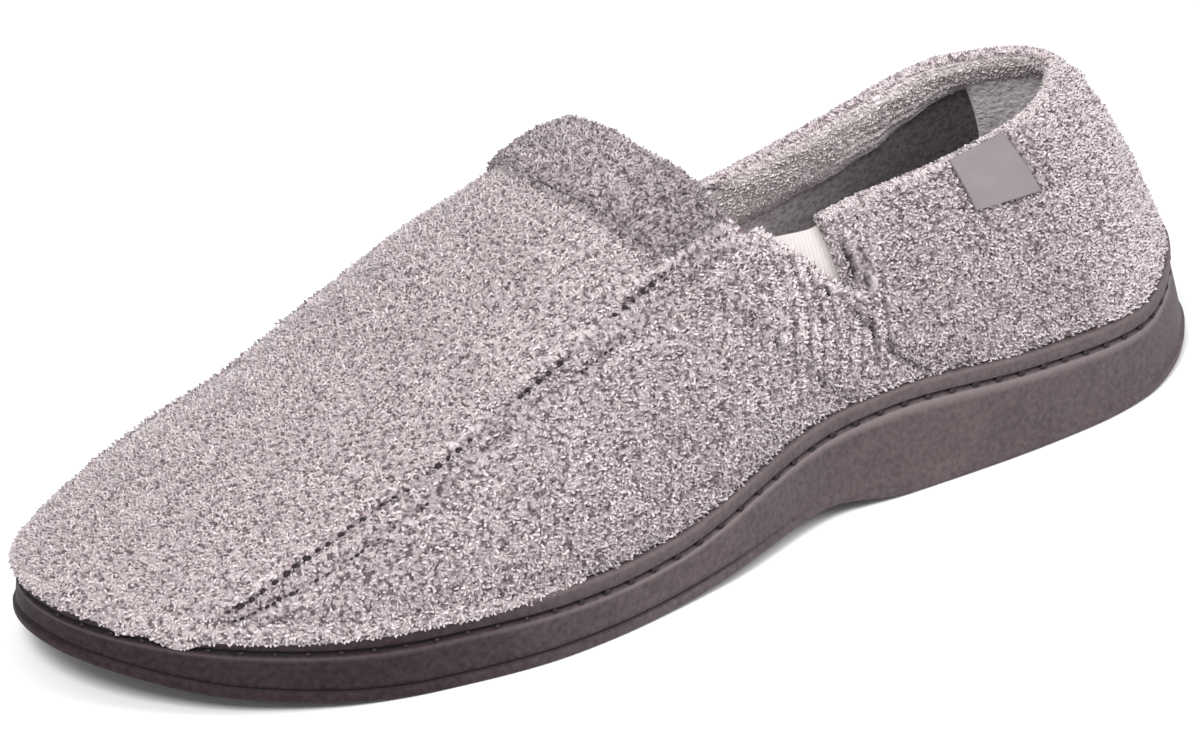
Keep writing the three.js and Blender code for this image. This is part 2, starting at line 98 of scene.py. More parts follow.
OUTLINE = table(
    "at lateral medial",
    (0.0, 0.327, 0.327), (0.12, 0.392, 0.371), (0.27, 0.419, 0.351), (0.42, 0.412, 0.342),
    (0.56, 0.507, 0.406), (0.7, 0.547, 0.455), (0.84, 0.48, 0.421), (1.0, 0.381, 0.386))
HEEL_ROUND = (0.193, 2.3)
TOE_ROUND = (0.2, 2.15)
SIDE = table(
    "at thickness arch spring bevel seat",
    (0.0, 1.15, 0, 0, 1, 1), (0.06, 1.1, 0, 0, 0.3, 1), (0.12, 1.0, 0, 0, 0, 1), (0.25, 1.21, 0, 0, 0, 1),
    (0.36, 1.5, 0.05, 0, 0, 1), (0.44, 0.76, 0.85, 0, 0, 1), (0.52, 0.46, 0.65, 0, 0, 0.85),
    (0.6, 0.06, 0.14, 0, 0, 0.4), (0.66, 0.0, 0, 0, 0, 0), (0.8, 0.06, 0, 0, 0, 0),
    (0.92, -0.09, 0, 0.37, 0, 0), (1.0, -0.45, 0, 1, 0, 0))
LAST = table(
    "at ridge rise low high lateral medial",
    (0.0, 0.236, 1.056, 0.49, 0.64, -24, -24), (0.1, 0.247, 1.061, 0.48, 0.64, -23, -25),
    (0.2, 0.273, 1.076, 0.46, 0.61, -15, -28), (0.28, 0.307, 1.093, 0.435, 0.575, -6, -31),
    (0.36, 0.353, 1.105, 0.43, 0.565, 1, -30), (0.43, 0.414, 1.09, 0.48, 0.6, 6, -24),
    (0.49, 0.483, 1.029, 0.52, 0.64, 7, -10), (0.545, 0.558, 0.949, 0.54, 0.64, 7, 0),
    (0.6, 0.627, 0.822, 0.52, 0.6, 7, 2), (0.66, 0.695, 0.638, 0.5, 0.58, 7, 2),
    (0.72, 0.75, 0.463, 0.46, 0.58, 7, 3), (0.8, 0.824, 0.315, 0.42, 0.58, 7, 4),
    (0.9, 0.873, 0.217, 0.4, 0.58, 7, 6), (1.0, 0.904, 0.171, 0.45, 0.6, 7, 7))
COLLAR = table(
    "at lateral medial",
    (0.068, 1.006, 1.006), (0.113, 1.002, 1.0), (0.171, 0.979, 0.957), (0.205, 0.963, 0.901),
    (0.257, 0.94, 0.816), (0.325, 0.918, 0.703), (0.377, 0.911, 0.625), (0.421, 0.882, 0.6))
THROAT = table(
    "at lateral medial",
    (0.4726, 0.754, 0.615), (0.4863, 0.752, 0.684), (0.4966, 0.812, 0.778), (0.5034, 0.879, 0.855),
    (0.5103, 0.937, 0.928), (0.5171, 0.969, 0.969), (0.5219, 1.0, 1.0))
NOTCH_DEPTH = {"lateral": 0.336, "medial": 0.2}
NOTCH_FOOT = 0.406
NOTCH_LAP = 0.004
APRON = table(
    "at lower upper",
    (0.49, 0.532, 0.582), (0.53, 0.522, 0.576), (0.56, 0.512, 0.566), (0.6, 0.494, 0.55),
    (0.64, 0.478, 0.535), (0.68, 0.446, 0.516), (0.72, 0.395, 0.487), (0.76, 0.305, 0.42),
    (0.79, 0.222, 0.322), (0.81, 0.13, 0.22), (0.83, 0.03, 0.12))
APRON_START = 0.512
APRON_END = 0.83
WING_FRONT = table(
    "at way",
    (0.0, 0.442), (0.1, 0.463), (0.2, 0.482), (0.3, 0.498), (0.4, 0.514), (0.5, 0.53), (0.6, 0.544),
    (0.66, 0.545), (0.73, 0.549), (0.8, 0.553), (0.9, 0.56), (1.0, 0.565))
WING_REAR = table(
    "at way",
    (0.0, 0.39), (0.05, 0.405), (0.1, 0.417), (0.15, 0.426), (0.23, 0.435), (0.27, 0.44),
    (0.35, 0.454), (0.4, 0.462), (0.45, 0.47), (0.5, 0.479))
WING_TOP = 0.5
CUFF_FOOT = 0.602
TAB_PLACE = {"rear": 0.29, "front": 0.346, "foot": 0.38, "top": 0.985}
GUSSET_PLACE = {"rear": 0.416, "front": 0.49, "foot": 0.18, "top": 0.95}
OPEN_LIMIT = 0.985

# Camera, as found from the photograph
CAMERA_AZIMUTH = 37.0
CAMERA_ELEVATION = 24.0
CAMERA_ROLL = -0.92
CAMERA_DISTANCE = 1013.0
CAMERA_TARGET_HEIGHT = 35.0
CAMERA_LENS = 145.08
SENSOR_WIDTH = 36
CAMERA_REACH = (0.05, 50)
AIM_OFFSET = (-0.00709, -0.00844)


# The last's surface: way runs round the sole (0 heel, 1 toe, negative by the inner side),
# rise from rim to ridge

def along(columns, x, name):
    """Smooth curve through one column of a table that never overshoots its rows."""
    at, value = columns["at"], columns[name]
    run = np.diff(at)
    slope = np.diff(value) / run
    tangent = np.empty(len(at))
    tangent[0], tangent[-1] = slope[0], slope[-1]
    for i in range(1, len(at) - 1):
        first, second = 2 * run[i] + run[i - 1], run[i] + 2 * run[i - 1]
        flat = slope[i - 1] * slope[i] <= 0
        tangent[i] = 0 if flat else (first + second) / (first / slope[i - 1] + second / slope[i])
    x = np.asarray(x, float)
    row = np.clip(np.searchsorted(at, x, "right") - 1, 0, len(at) - 2)
    u = np.clip((x - at[row]) / run[row], 0, 1)
    start = (1 + 2 * u) * (1 - u) ** 2 * value[row]
    leave = u * (1 - u) ** 2 * run[row] * tangent[row]
    arrive = u * u * (3 - 2 * u) * value[row + 1]
    land = u * u * (u - 1) * run[row] * tangent[row + 1]
    return start + leave + arrive + land


def smooth(x, low, high):
    """Share from 0 to 1 as x goes from low to high, with level ends."""
    u = np.clip((np.asarray(x, float) - low) / (high - low), 0, 1)
    return u * u * (3 - 2 * u)


def unit(vectors):
    return vectors / np.linalg.norm(vectors, axis=-1, keepdims=True)


def wrap(way):
    """Way brought to the run from -1 to 1."""
    return (np.asarray(way, float) + 1) % 2 - 1


def share_of(way):
    """Place along the sole's length, 0 at the heel and 1 at the toe."""
    return (1 - np.cos(np.pi * np.abs(wrap(way)))) / 2


def by_side(columns, x, way):
    """Column for the outer or inner side, by the sign of the way."""
    return np.where(wrap(way) >= 0, along(columns, x, "lateral"), along(columns, x, "medial"))


def outline(way):
    """Outline of the sole, seen from above."""
    share = share_of(way)
    heel = np.maximum(0, (HEEL_ROUND[0] - share) / HEEL_ROUND[0])
    toe = np.clip((share - 1 + TOE_ROUND[0]) / TOE_ROUND[0], 0, 1)
    ends = (1 - heel ** HEEL_ROUND[1]) ** (1 / HEEL_ROUND[1])
    ends = ends * (1 - toe ** TOE_ROUND[1]) ** (1 / TOE_ROUND[1])
    half = by_side(OUTLINE, share, way) * BALL_WIDTH * ends
    return np.stack([share * SOLE_LENGTH, np.where(wrap(way) >= 0, half, -half)], -1)


def outward(way):
    """Level direction square to the outline."""
    run = outline(np.asarray(way) + 0.002) - outline(np.asarray(way) - 0.002)
    return unit(np.stack([-run[..., 1], run[..., 0]], -1))


def outline_off(way, out):
    return outline(way) + outward(way) * np.asarray(out)[..., None]


def bottom_at(share):
    """Height of the sole's bottom edge."""
    bevel = along(SIDE, share, "bevel") * HEEL_BEVEL
    return along(SIDE, share, "arch") * ARCH_LIFT + along(SIDE, share, "spring") * TOE_SPRING + bevel


def rim_at(share):
    """Height of the sole's rim."""
    return bottom_at(share) + FORE_SIDE + along(SIDE, share, "thickness") * (HEEL_SIDE - FORE_SIDE)


def tray_at(share):
    """Height of the tray's floor, level under the heel."""
    following = rim_at(share) - TRAY_DEPTH_FORE
    return following + (HEEL_SEAT - following) * along(SIDE, share, "seat")


def slant_at(share):
    """How far the heel's wall leans in at the rim."""
    return HEEL_SLANT * (1 - smooth(share, 0, SLANT_SHARE))


def ridge_point(turn):
    """Point of the ridge at which the section of a way ends."""
    ridge = along(LAST, turn, "ridge") * SOLE_LENGTH
    return np.stack([ridge, 0 * ridge, HEEL_SIDE + along(LAST, turn, "rise") * INSTEP_RISE], -1)


def ridge_slope(turn):
    run = ridge_point(np.minimum(1, turn + 0.001)) - ridge_point(np.maximum(0, turn - 0.001))
    return run[..., 2] / run[..., 0]


def last_point(way, rise):
    """Point of the last's face."""
    way, rise = np.broadcast_arrays(np.asarray(way, float), np.asarray(rise, float))
    turn = np.abs(wrap(way))
    share = share_of(way)
    foot_height = (rim_at(share) + SEAT_GAP)[..., None]
    foot = np.concatenate([outline_off(way, -RIM_INSET - slant_at(share)), foot_height], -1)
    ridge = ridge_point(turn)
    out = outward(way)
    bulge = np.radians(by_side(LAST, turn, way))
    low = (ridge[..., 2] - foot[..., 2]) * along(LAST, turn, "low")
    lean = np.stack([out[..., 0] * np.sin(bulge), out[..., 1] * np.sin(bulge), np.cos(bulge)], -1)
    flat = foot - ridge
    flat[..., 2] = ridge_slope(turn) * flat[..., 0]
    first = foot + lean * low[..., None]
    second = ridge + flat * along(LAST, turn, "high")[..., None]
    u = rise[..., None]
    return (1 - u) ** 3 * foot + 3 * u * (1 - u) ** 2 * first + 3 * u * u * (1 - u) * second + u ** 3 * ridge


def face_normal(way, rise):
    """Outward direction of the last's face: level at the rim, square to the ridge."""
    way, rise = np.broadcast_arrays(np.asarray(way, float), np.asarray(rise, float))
    step = 0.001
    across = last_point(way + step, rise) - last_point(way - step, rise)
    up = last_point(way, np.minimum(1, rise + step)) - last_point(way, np.maximum(0, rise - step))
    normal = np.cross(up, across)
    normal[..., 2] = np.where(rise < 1e-9, 0, normal[..., 2])
    slope = ridge_slope(np.abs(wrap(way)))
    crest = np.stack([-slope, 0 * slope, 1 + 0 * slope], -1)
    normal = np.where((rise > 1 - 1e-9)[..., None], crest, normal)
    return unit(normal)


def face_point(way, rise, out):
    """Point at a distance outside the last's face."""
    out = np.broadcast_to(out, np.shape(way + 0 * rise))[..., None]
    return last_point(way, rise) + face_normal(way, rise) * out


def edge_height(share, way):
    """Height of the collar or throat edge above the floor, in side view."""
    rear = by_side(COLLAR, np.minimum(share, COLLAR["at"][-1]), way) * COLLAR_RISE
    front = by_side(THROAT, np.maximum(share, THROAT["at"][0]), way) * INSTEP_RISE
    return HEEL_SIDE + rear + (front - rear) * smooth(share, COLLAR["at"][-1], THROAT["at"][0])


def bisect(test, low, high):
    """First value for which a test holds, for every element of two arrays of ends."""
    low, high = np.array(low, float), np.array(high, float)
    for _ in range(HALVINGS):
        middle = (low + high) / 2
        held = test(middle)
        high = np.where(held, middle, high)
        low = np.where(held, low, middle)
    return high


THROAT_WAY = float(bisect(lambda way: along(LAST, way, "ridge") > THROAT["at"][-1], 0.0, 1.0))


def top_of(way):
    """Share of the way to the ridge at which collar or throat cuts a section off."""
    way = np.asarray(way, float)

    def above(rise):
        point = last_point(way, rise)
        return point[..., 2] > edge_height(point[..., 0] / SOLE_LENGTH, way)

    cut = bisect(above, np.full(way.shape, 0.2), np.full(way.shape, OPEN_LIMIT))
    return np.where(np.abs(wrap(way)) >= THROAT_WAY - 1e-9, 1.0, cut)


def rear_edge(rise, sign):
    """Way at which the throat's edge reaches each rise, on one side."""
    start, end = np.full(rise.shape, 0.45), np.full(rise.shape, THROAT_WAY)
    return bisect(lambda way: top_of(sign * way) >= rise, start, end)


# Where the part's own frame has its origin: the middle of the footprint
WAYS_ROUND = np.linspace(-1, 1, 1441)[:-1]
FOOTPRINT = outline_off(WAYS_ROUND, np.full(WAYS_ROUND.shape, SOLE_FLARE))
MIDDLE = (FOOTPRINT.min(0) + FOOTPRINT.max(0)) / 2


def to_frame(points):
    """Millimetres from the heel's end to metres in the frame."""
    points = np.asarray(points, float).reshape(-1, 3).copy()
    points[:, :2] -= MIDDLE
    return points * MM


# Meshes

def mesh_object(name, points, faces, attributes=(), materials=(), material_index=None, weld=WELD):
    """Object of a welded mesh, from points in millimetres, faces and named point values."""
    mesh = bpy.data.meshes.new(name)
    mesh.from_pydata(to_frame(points).tolist(), [], [tuple(int(k) for k in f) for f in faces])
    for key, values in dict(attributes).items():
        values = np.asarray(values, np.float32)
        kind = "FLOAT" if values.ndim == 1 else "FLOAT_VECTOR"
        layer = mesh.attributes.new(key, kind, "POINT")
        layer.data.foreach_set("value" if kind == "FLOAT" else "vector", values.ravel())
    for material in materials:
        mesh.materials.append(material)
    if material_index is not None:
        mesh.polygons.foreach_set("material_index", np.asarray(material_index, np.int32))
    piece = bpy.data.objects.new(name, mesh)
    bpy.context.scene.collection.objects.link(piece)
    if weld:
        work = bmesh.new()
        work.from_mesh(mesh)
        bmesh.ops.remove_doubles(work, verts=work.verts, dist=weld)
        bmesh.ops.dissolve_degenerate(work, edges=work.edges, dist=weld / 2)
        work.to_mesh(mesh)
        work.free()
    mesh.shade_smooth()
    return piece


def grid_faces(columns, rows, first=0, loop=False, flip=False):
    """Quads of a grid of points stored column by column."""
    i = np.arange(columns if loop else columns - 1)
    j = np.arange(rows - 1)
    a = (i[:, None] * rows + j[None]).ravel()
    b = a + 1
    k = ((i + 1) % columns)[:, None] * rows + j[None]
    d = k.ravel()
    c = d + 1
    faces = np.stack([a, d, c, b], -1) + first
    return faces[:, ::-1] if flip else faces


def near_line(points, line, reach):
    """Distance of each point from a line of points, where it is under a reach; the reach elsewhere."""
    points = points.reshape(-1, 3)
    found = np.full(len(points), float(reach))
    low, high = line.min(0) - reach, line.max(0) + reach
    inside = np.flatnonzero(((points > low) & (points < high)).all(1))
    start, run = line[:-1], np.diff(line, axis=0)
    square = (run ** 2).sum(1) + 1e-12
    for part in np.array_split(inside, max(1, len(inside) // 1500)):
        away = points[part][:, None] - start[None]
        u = np.clip((away * run[None]).sum(-1) / square[None], 0, 1)
        gap = np.linalg.norm(away - run[None] * u[..., None], axis=-1).min(1)
        found[part] = np.minimum(found[part], gap)
    return found


# Panels of the upper

def place_at(x, z, sign):
    """Way and rise of the point of the last's face that has a given place in side view."""
    way, rise = sign * 0.44, 0.3
    for _ in range(30):
        here = last_point(way, rise)
        miss = np.array([x - here[0], z - here[2]])
        step = 1e-4
        by_way = (last_point(way + step, rise) - here)[[0, 2]] / step
        by_rise = (last_point(way, rise + step) - here)[[0, 2]] / step
        change = np.linalg.solve(np.stack([by_way, by_rise], -1), miss)
        way, rise = way + change[0], rise + change[1]
    return float(way), float(rise)


def on_line(rise, start, end, sign):
    """Way at which each rise meets a straight line in side view."""
    run = np.array(end) - np.array(start)

    def ahead(way):
        here = last_point(sign * way, rise)
        return (here[..., 0] - start[0]) * run[1] - (here[..., 2] - start[1]) * run[0] > 0

    return sign * bisect(ahead, np.full(rise.shape, 0.38), np.full(rise.shape, 0.56))


class Notch:
    """Corners of the notch on one side, in side view and on the last's face."""

    def __init__(self, side):
        self.sign = 1 if side == "lateral" else -1
        corner, wing = COLLAR["at"][-1], THROAT["at"][0]
        at_corner = float(edge_height(corner, self.sign * 0.4))
        at_wing = float(edge_height(wing, self.sign * 0.4))
        self.foot = (NOTCH_FOOT * SOLE_LENGTH, at_corner - NOTCH_DEPTH[side] * COLLAR_RISE)
        self.quarter = ((corner - NOTCH_LAP) * SOLE_LENGTH, at_corner)
        self.wing = (wing * SOLE_LENGTH, at_wing + SEAT_GAP)
        self.foot_way, self.foot_rise = place_at(*self.foot, self.sign)
        self.quarter_rise = place_at(*self.quarter, self.sign)[1]
        self.wing_rise = place_at(*self.wing, self.sign)[1]

    def seam_way(self, rise):
        """Seam below the notch, from the rim to its foot."""
        drift = self.foot_way - self.sign * along(WING_REAR, self.foot_rise, "way")
        return self.sign * along(WING_REAR, rise, "way") + drift * rise / self.foot_rise


NOTCHES = {"lateral": Notch("lateral"), "medial": Notch("medial")}


def spaced(count, dense_start, dense_end):
    """Even shares from 0 to 1, with further shares near the ends."""
    extra = np.concatenate([np.asarray(dense_start, float), 1 - np.asarray(dense_end, float)])
    return np.unique(np.round(np.concatenate([np.linspace(0, 1, count), extra]), 6))


# Shares at which further rows lie beside a free edge
ROW_ENDS = (0.002, 0.006, 0.012, 0.02, 0.03)

# About how long the panels' edges are, in millimetres: round the heel, up the throat and round the toe
QUARTER_RUN = 265
THROAT_RUN = 90
TOE_RUN = 350


def panel_grid(front, columns, low_rows, high_rows):
    """Ways and rises of a panel's grid: rows below the notch's foot, then rows up to the edge."""
    lateral, medial = NOTCHES["lateral"], NOTCHES["medial"]
    low = np.linspace(0, 1, low_rows)[:-1]
    high = spaced(high_rows, (), ROW_ENDS)
    edges = {}
    for notch in (lateral, medial):
        end = notch.wing if front else notch.quarter
        end_rise = notch.wing_rise if front else notch.quarter_rise
        rises = np.concatenate([low * notch.foot_rise, notch.foot_rise + high * (end_rise - notch.foot_rise)])
        ways = on_line(rises, notch.foot, end, notch.sign)
        below = np.arange(len(rises)) <= len(low)
        edges[notch.sign] = np.where(below, notch.seam_way(np.minimum(rises, notch.foot_rise)), ways)
    start, end = edges[1], edges[-1] + (2 if front else 0)
    way = start[None] + (end - start)[None] * columns[:, None]
    middle = lateral.foot_rise + (medial.foot_rise - lateral.foot_rise) * columns
    top = top_of(way[:, -1])
    below = low[None] * middle[:, None]
    above = middle[:, None] + high[None] * (top - middle)[:, None]
    return way, np.concatenate([below, above], 1)


def panel_columns(front, step):
    """Shares of a panel's columns, close together where the throat climbs to the instep."""
    if not front:
        return spaced(int(QUARTER_RUN / step), ROW_ENDS, ROW_ENDS)
    start = abs(place_at(*NOTCHES["lateral"].wing, 1)[0])
    end = 2 - abs(place_at(*NOTCHES["medial"].wing, -1)[0])
    throat_start = (THROAT_WAY - start) / (end - start)
    throat_end = (2 - THROAT_WAY - start) / (end - start)
    climb = int(THROAT_RUN / step)
    parts = [np.linspace(0, throat_start, climb)[:-1],
             np.linspace(throat_start, throat_end, int(TOE_RUN / step))[:-1],
             np.linspace(throat_end, 1, climb)]
    edge = np.array([0.0006, 0.002, 0.004])
    return np.unique(np.round(np.concatenate([*parts, edge, 1 - edge]), 6))


def apron_row(name):
    """Way and rise along one needle row of the apron seam."""
    way = np.linspace(APRON_START - 0.012, APRON_END, 400)
    return way, along(APRON, way, name)


# How deep the seams sink into the cloth
WING_SEAM_DEPTH = 0.4
QUARTER_SEAM_DEPTH = 0.75
CUFF_FOLD_DEPTH = 0.35
TAB_EDGE_DEPTH = 0.7
HEM_DEPTH = 0.5

# Rises and ways of the hem beside each gusset
HEM_LINE = ((0.29, 0.325, 0.375, 0.43), (0.452, 0.4582, 0.4617, 0.4665))


def seam_lines():
    """Sunk lines of the seams on both sides, with how deep each is."""
    lines = []
    for sign in (1, -1):
        rise = np.linspace(0.01, WING_TOP, 120)
        low = rise[:64]
        fold = np.linspace(CUFF_FOOT, 1, 60)
        hem = np.linspace(0.3, 0.43, 30)
        lines.append((last_point(sign * along(WING_FRONT, rise, "way"), rise), WING_SEAM_DEPTH))
        lines.append((last_point(sign * (along(WING_REAR, low, "way") + 0.004), low), QUARTER_SEAM_DEPTH))
        lines.append((last_point(sign * (along(WING_FRONT, fold, "way") + 0.003), fold), CUFF_FOLD_DEPTH))
        if sign > 0:
            # A sunk line at the tab's rear edge, which the pile's tone darkens into a painted shadow line
            side = np.linspace(TAB_PLACE["foot"], TAB_PLACE["top"], 60)
            lines.append((last_point(np.full(60, TAB_PLACE["rear"] - 0.004), side), TAB_EDGE_DEPTH))
        lines.append((last_point(sign * np.interp(hem, *HEM_LINE), hem), HEM_DEPTH))
    return lines


def raise_of(way, rise):
    """How far wing panels and apron seam stand above the last's face."""
    turn = np.abs(wrap(way))
    step = 0.002
    over, under = np.minimum(1, rise + step), rise - step
    up_scale = np.linalg.norm(last_point(way, over) - last_point(way, under), axis=-1) / (over - under)
    round_run = last_point(way + step, rise) - last_point(way - step, rise)
    round_scale = np.linalg.norm(round_run, axis=-1) / (2 * step)
    lower, upper = along(APRON, turn, "lower"), along(APRON, turn, "upper")
    inside = np.minimum(rise - lower, upper - rise) * up_scale
    ends = np.minimum(turn - APRON_START + 0.02, APRON_END - turn) * round_scale
    seam = smooth(inside, -0.4, 1.0) * smooth(ends, -0.5, 2.5)
    rear, front = along(WING_REAR, rise, "way"), along(WING_FRONT, rise, "way")
    wing_in = np.minimum(np.where(rise < WING_TOP, turn - rear, 1) + 0.004, front - turn) * round_scale
    wing_up = (np.maximum(lower, WING_TOP) + 0.01 - rise) * up_scale
    wing = smooth(wing_in, -0.4, 1.2) * smooth(wing_up, 0, 3)
    return PANEL_RAISE * np.maximum(seam, wing)


def soft_noise(points, size, seed):
    """Smooth random heights, mostly between -1 and 1, over points in millimetres."""
    draw = np.random.default_rng(seed)
    total = np.zeros(points.shape[:-1])
    for _ in range(14):
        direction = draw.normal(size=3)
        direction /= np.linalg.norm(direction)
        wave = 2 * np.pi / (size * draw.uniform(0.7, 1.5))
        total += np.sin(points @ direction * wave + draw.uniform(0, 2 * np.pi))
    return total / math.sqrt(14)


# How far, as way, the throat's free edge runs on past the ridge, so that its wall closes there
THROAT_CUSP = 0.0045


def open_border(front, way, base, low_rows):
    """Lines of a panel's free edges: the two sides of the notches and the collar or throat."""
    sides = [base[0, low_rows - 1:], base[-1, low_rows - 1:]]
    if not front:
        return [*sides, base[:, -1]]
    free = np.abs(wrap(way[:, -1])) < THROAT_WAY + THROAT_CUSP
    half = len(free) // 2
    return [*sides, np.concatenate([base[:half, -1][free[:half]], base[half:, -1][free[half:]]])]


def row_gaps(way, rise):
    """Signed millimetres from the needle rows, up the face, and how far into the seam's length."""
    turn = np.abs(wrap(way))
    step = 0.004
    over, under = np.minimum(1, rise + step), np.maximum(0, rise - step)
    scale = np.linalg.norm(last_point(way, over) - last_point(way, under), axis=-1) / (over - under)
    gaps = {name: (rise - along(APRON, turn, name)) * scale for name in ("upper", "lower")}
    inside = smooth(turn, APRON_START - 0.02, APRON_START)
    return gaps, inside * (1 - smooth(turn, APRON_END - 0.01, APRON_END + 0.01))


def bell(gap, width):
    """Round hump beside a line, by the distance from it."""
    return np.exp(-(gap / width) ** 2)


# Grids of a panel: spacing of the columns in millimetres, rows up to the notch's foot, and rows above
CLOTH_GRID = (1.5, 18, 32)
PILE_GRID = (1.25, 22, 40)

# How far from the free edges and the seams, in millimetres, the cloth is shaped by them
EDGE_REACH = 12.0
SEAM_REACH = 5.0

# Puckers on the wing: their height and pitch, and the length that one way has there, in millimetres
PUCKER_DEPTH = 0.6
PUCKER_PITCH = 4.0
WAY_LENGTH = 455

# What each kind of relief does to the pile that stands on it. Its tone paints light and shade: lighter on the
# ridge above the apron seam and the crests of the puckers, darker in the seam's valley, along the sunk seams
# and in the puckers' troughs; it is also a little lighter on the wing and darker where the terry lies flat
PILE_CHANGES = {
    "cover": (1, {"valley": -0.4, "joins": -0.3, "flat": -0.15, "dip": -0.5}),
    "length": (1, {"valley": -0.25, "joins": -0.3, "flat": -0.3, "dip": -0.25}),
    "tone": (0, {"ridge": 0.9, "valley": -0.7, "joins": -1.1, "furrow": 0.8, "dip": -0.2,
                 "wing": 0.15, "flat": -0.55})}


def puckers(base, turn, rise):
    """Where the elastic draws the wing together, and its puckers there, from -1 to 1."""
    wing = smooth(turn, 0.405, 0.43) * (1 - smooth(turn, 0.5, 0.53))
    wing = wing * smooth(rise, 0.04, 0.12) * (1 - smooth(rise, 0.36, 0.5))
    drawn = wing * np.clip(0.75 + 0.5 * soft_noise(base, 11, 9), 0.15, 1.0)
    run = WAY_LENGTH * turn + 0.8 * soft_noise(base, 22, 7)
    return wing, drawn * np.sin(2 * np.pi * run / PUCKER_PITCH)


def under_tab(way, rise):
    """Where the label tab lies on the quarter, and a narrow strip behind its rear edge, so that no pile
    stands there; the bare strip shows as a painted shadow line.
    """
    rear, front, foot = (TAB_PLACE[name] for name in ("rear", "front", "foot"))
    tab = smooth(way, rear - 0.010, rear - 0.007) * (1 - smooth(way, front - 0.002, front))
    return tab * smooth(rise, foot + 0.002, foot + 0.018)


def flattened(turn, rise):
    """Where the terry of the quarter lies flat, beside the gusset."""
    top = 0.47 - 4.8 * (0.45 - turn)
    flat = smooth(turn, 0.419, 0.428) * smooth(rise, 0.26, 0.29)
    return flat * (1 - smooth(rise - top, -0.01, 0.02))


def panel_surface(front, step, low_rows, high_rows):
    """Outer and inner face of one panel of the upper on a grid, with what its pile is like."""
    way, rise = panel_grid(front, panel_columns(front, step), low_rows, high_rows)
    base = last_point(way, rise)
    turn = np.abs(wrap(way))
    away = np.full(base.shape[:2], EDGE_REACH)
    for line in open_border(front, way, base, low_rows):
        away = np.minimum(away, near_line(base, line, EDGE_REACH).reshape(away.shape))
    radius = UPPER_WALL / 2
    sink = radius - np.sqrt(np.maximum(0, radius ** 2 - (radius - np.minimum(away, radius)) ** 2))
    lift = raise_of(way, rise) * smooth(away, 0, 1.5)
    rim = 1 - smooth(away, 0.6, 2.8)
    gaps, seam = row_gaps(way, rise)
    valley = np.maximum(0.7 * bell(gaps["upper"], 0.9), 0.5 * bell(gaps["lower"], 0.9)) * seam
    ridge = (0.55 * bell(gaps["upper"] - 1.8, 0.9) + 0.2 * bell(gaps["lower"] + 1.8, 1.0)) * seam
    joins = np.zeros(away.shape)
    for line, depth in seam_lines():
        gap = near_line(base, line, SEAM_REACH).reshape(away.shape)
        joins = np.maximum(joins, depth * bell(gap, 1.1))
    wing, furrow = puckers(base, turn, rise)
    waves = (soft_noise(base, 17, 3) * 0.22 + soft_noise(base, 8, 5) * 0.08) * smooth(away, 0, 4)
    flat = 0 if front else flattened(turn, rise)
    relief = ridge - valley - joins + (PUCKER_DEPTH * furrow + waves) * (1 - valley)
    outer = face_point(way, rise, lift - sink + relief * smooth(away, 0, 1.2))
    forms = {"ridge": ridge, "valley": valley, "joins": joins, "furrow": furrow, "wing": wing, "flat": flat,
             "dip": np.maximum(0, -furrow)}
    pile = {kind: sum((weight * forms[form] for form, weight in weights.items()), start)
            for kind, (start, weights) in PILE_CHANGES.items()}
    pile["cover"] = pile["cover"] * (1 - under_tab(way, rise))
    pile["length"] = pile["length"] * (0.6 + 0.4 * smooth(away, 0, 4))
    pile["tone"] = pile["tone"] + 0.9 * rim * (1 - flat)
    # Painted light: the quarter's terry is lighter round the heel, most of all low down
    if not front:
        painted_heel_light = 0.8 + 0.5 * (1 - smooth(rise, 0.15, 0.4))
        pile["tone"] = pile["tone"] + (painted_heel_light * (1 - smooth(turn, 0.12, 0.32)) - 0.05)
    return {"way": way, "rise": rise, "base": base, "low_rows": low_rows, "outer": outer, "rim": rim,
            "inner": face_point(way, rise, -UPPER_WALL + sink), "pile": pile}


def wall_faces(count, rows, side_rows, top):
    """Quads of a wall between two stacked grids: faces, foot, sides up to a row and, if wanted, its top."""
    shift, last = count * rows, (count - 1) * rows
    i, j = np.arange(count - 1) * rows, np.arange(side_rows - 1)

    def joining(a, b, turned):
        return np.stack([a, a + shift, b + shift, b] if turned else [a, b, b + shift, a + shift], -1)

    parts = [grid_faces(count, rows), grid_faces(count, rows, shift, flip=True), joining(i, i + rows, True)]
    if top:
        parts.append(joining(i + rows - 1, i + 2 * rows - 1, False))
    return np.concatenate([*parts, joining(j, j + 1, False), joining(j + last, j + 1 + last, True)])


def build_cloth(name, front, materials):
    """Closed wall of one panel of the upper, with the lining on its inner face up to the rim."""
    panel = panel_surface(front, *CLOTH_GRID)
    count, rows = panel["way"].shape
    faces = wall_faces(count, rows, panel["low_rows"], False)
    cells = (count - 1) * (rows - 1)
    rim = np.concatenate([np.zeros(count * rows), panel["rim"].ravel()])
    index = np.zeros(len(faces))
    index[cells:2 * cells] = rim[faces[cells:2 * cells]].max(-1) < 0.02
    points = np.concatenate([panel["outer"].reshape(-1, 3), panel["inner"].reshape(-1, 3)])
    # The ground takes the pile's tone, with its painted light and shade, outside, and is lighter near the
    # free edges inside
    tone = np.concatenate([panel["pile"]["tone"].ravel(), 0.9 * panel["rim"].ravel()])
    faces = faces[:, ::-1] if front else faces
    return mesh_object(name, points, faces, {"ground_tone_with_painted_light": tone}, materials, index)


# Distance from one needle hole of the apron seam to the next
PIT_PITCH = 2.7


def run_length(line):
    """Length along a line of points, at each of them."""
    return np.concatenate([[0], np.cumsum(np.linalg.norm(np.diff(line, axis=0), axis=1))])


def row_stops(way, rise, pitch, start):
    """Ways and rises of even stops along a row, from a start in millimetres."""
    length = run_length(last_point(way, rise))
    stops = np.arange(start, length[-1], pitch)
    return np.interp(stops, length, way), np.interp(stops, length, rise)


# Node trees

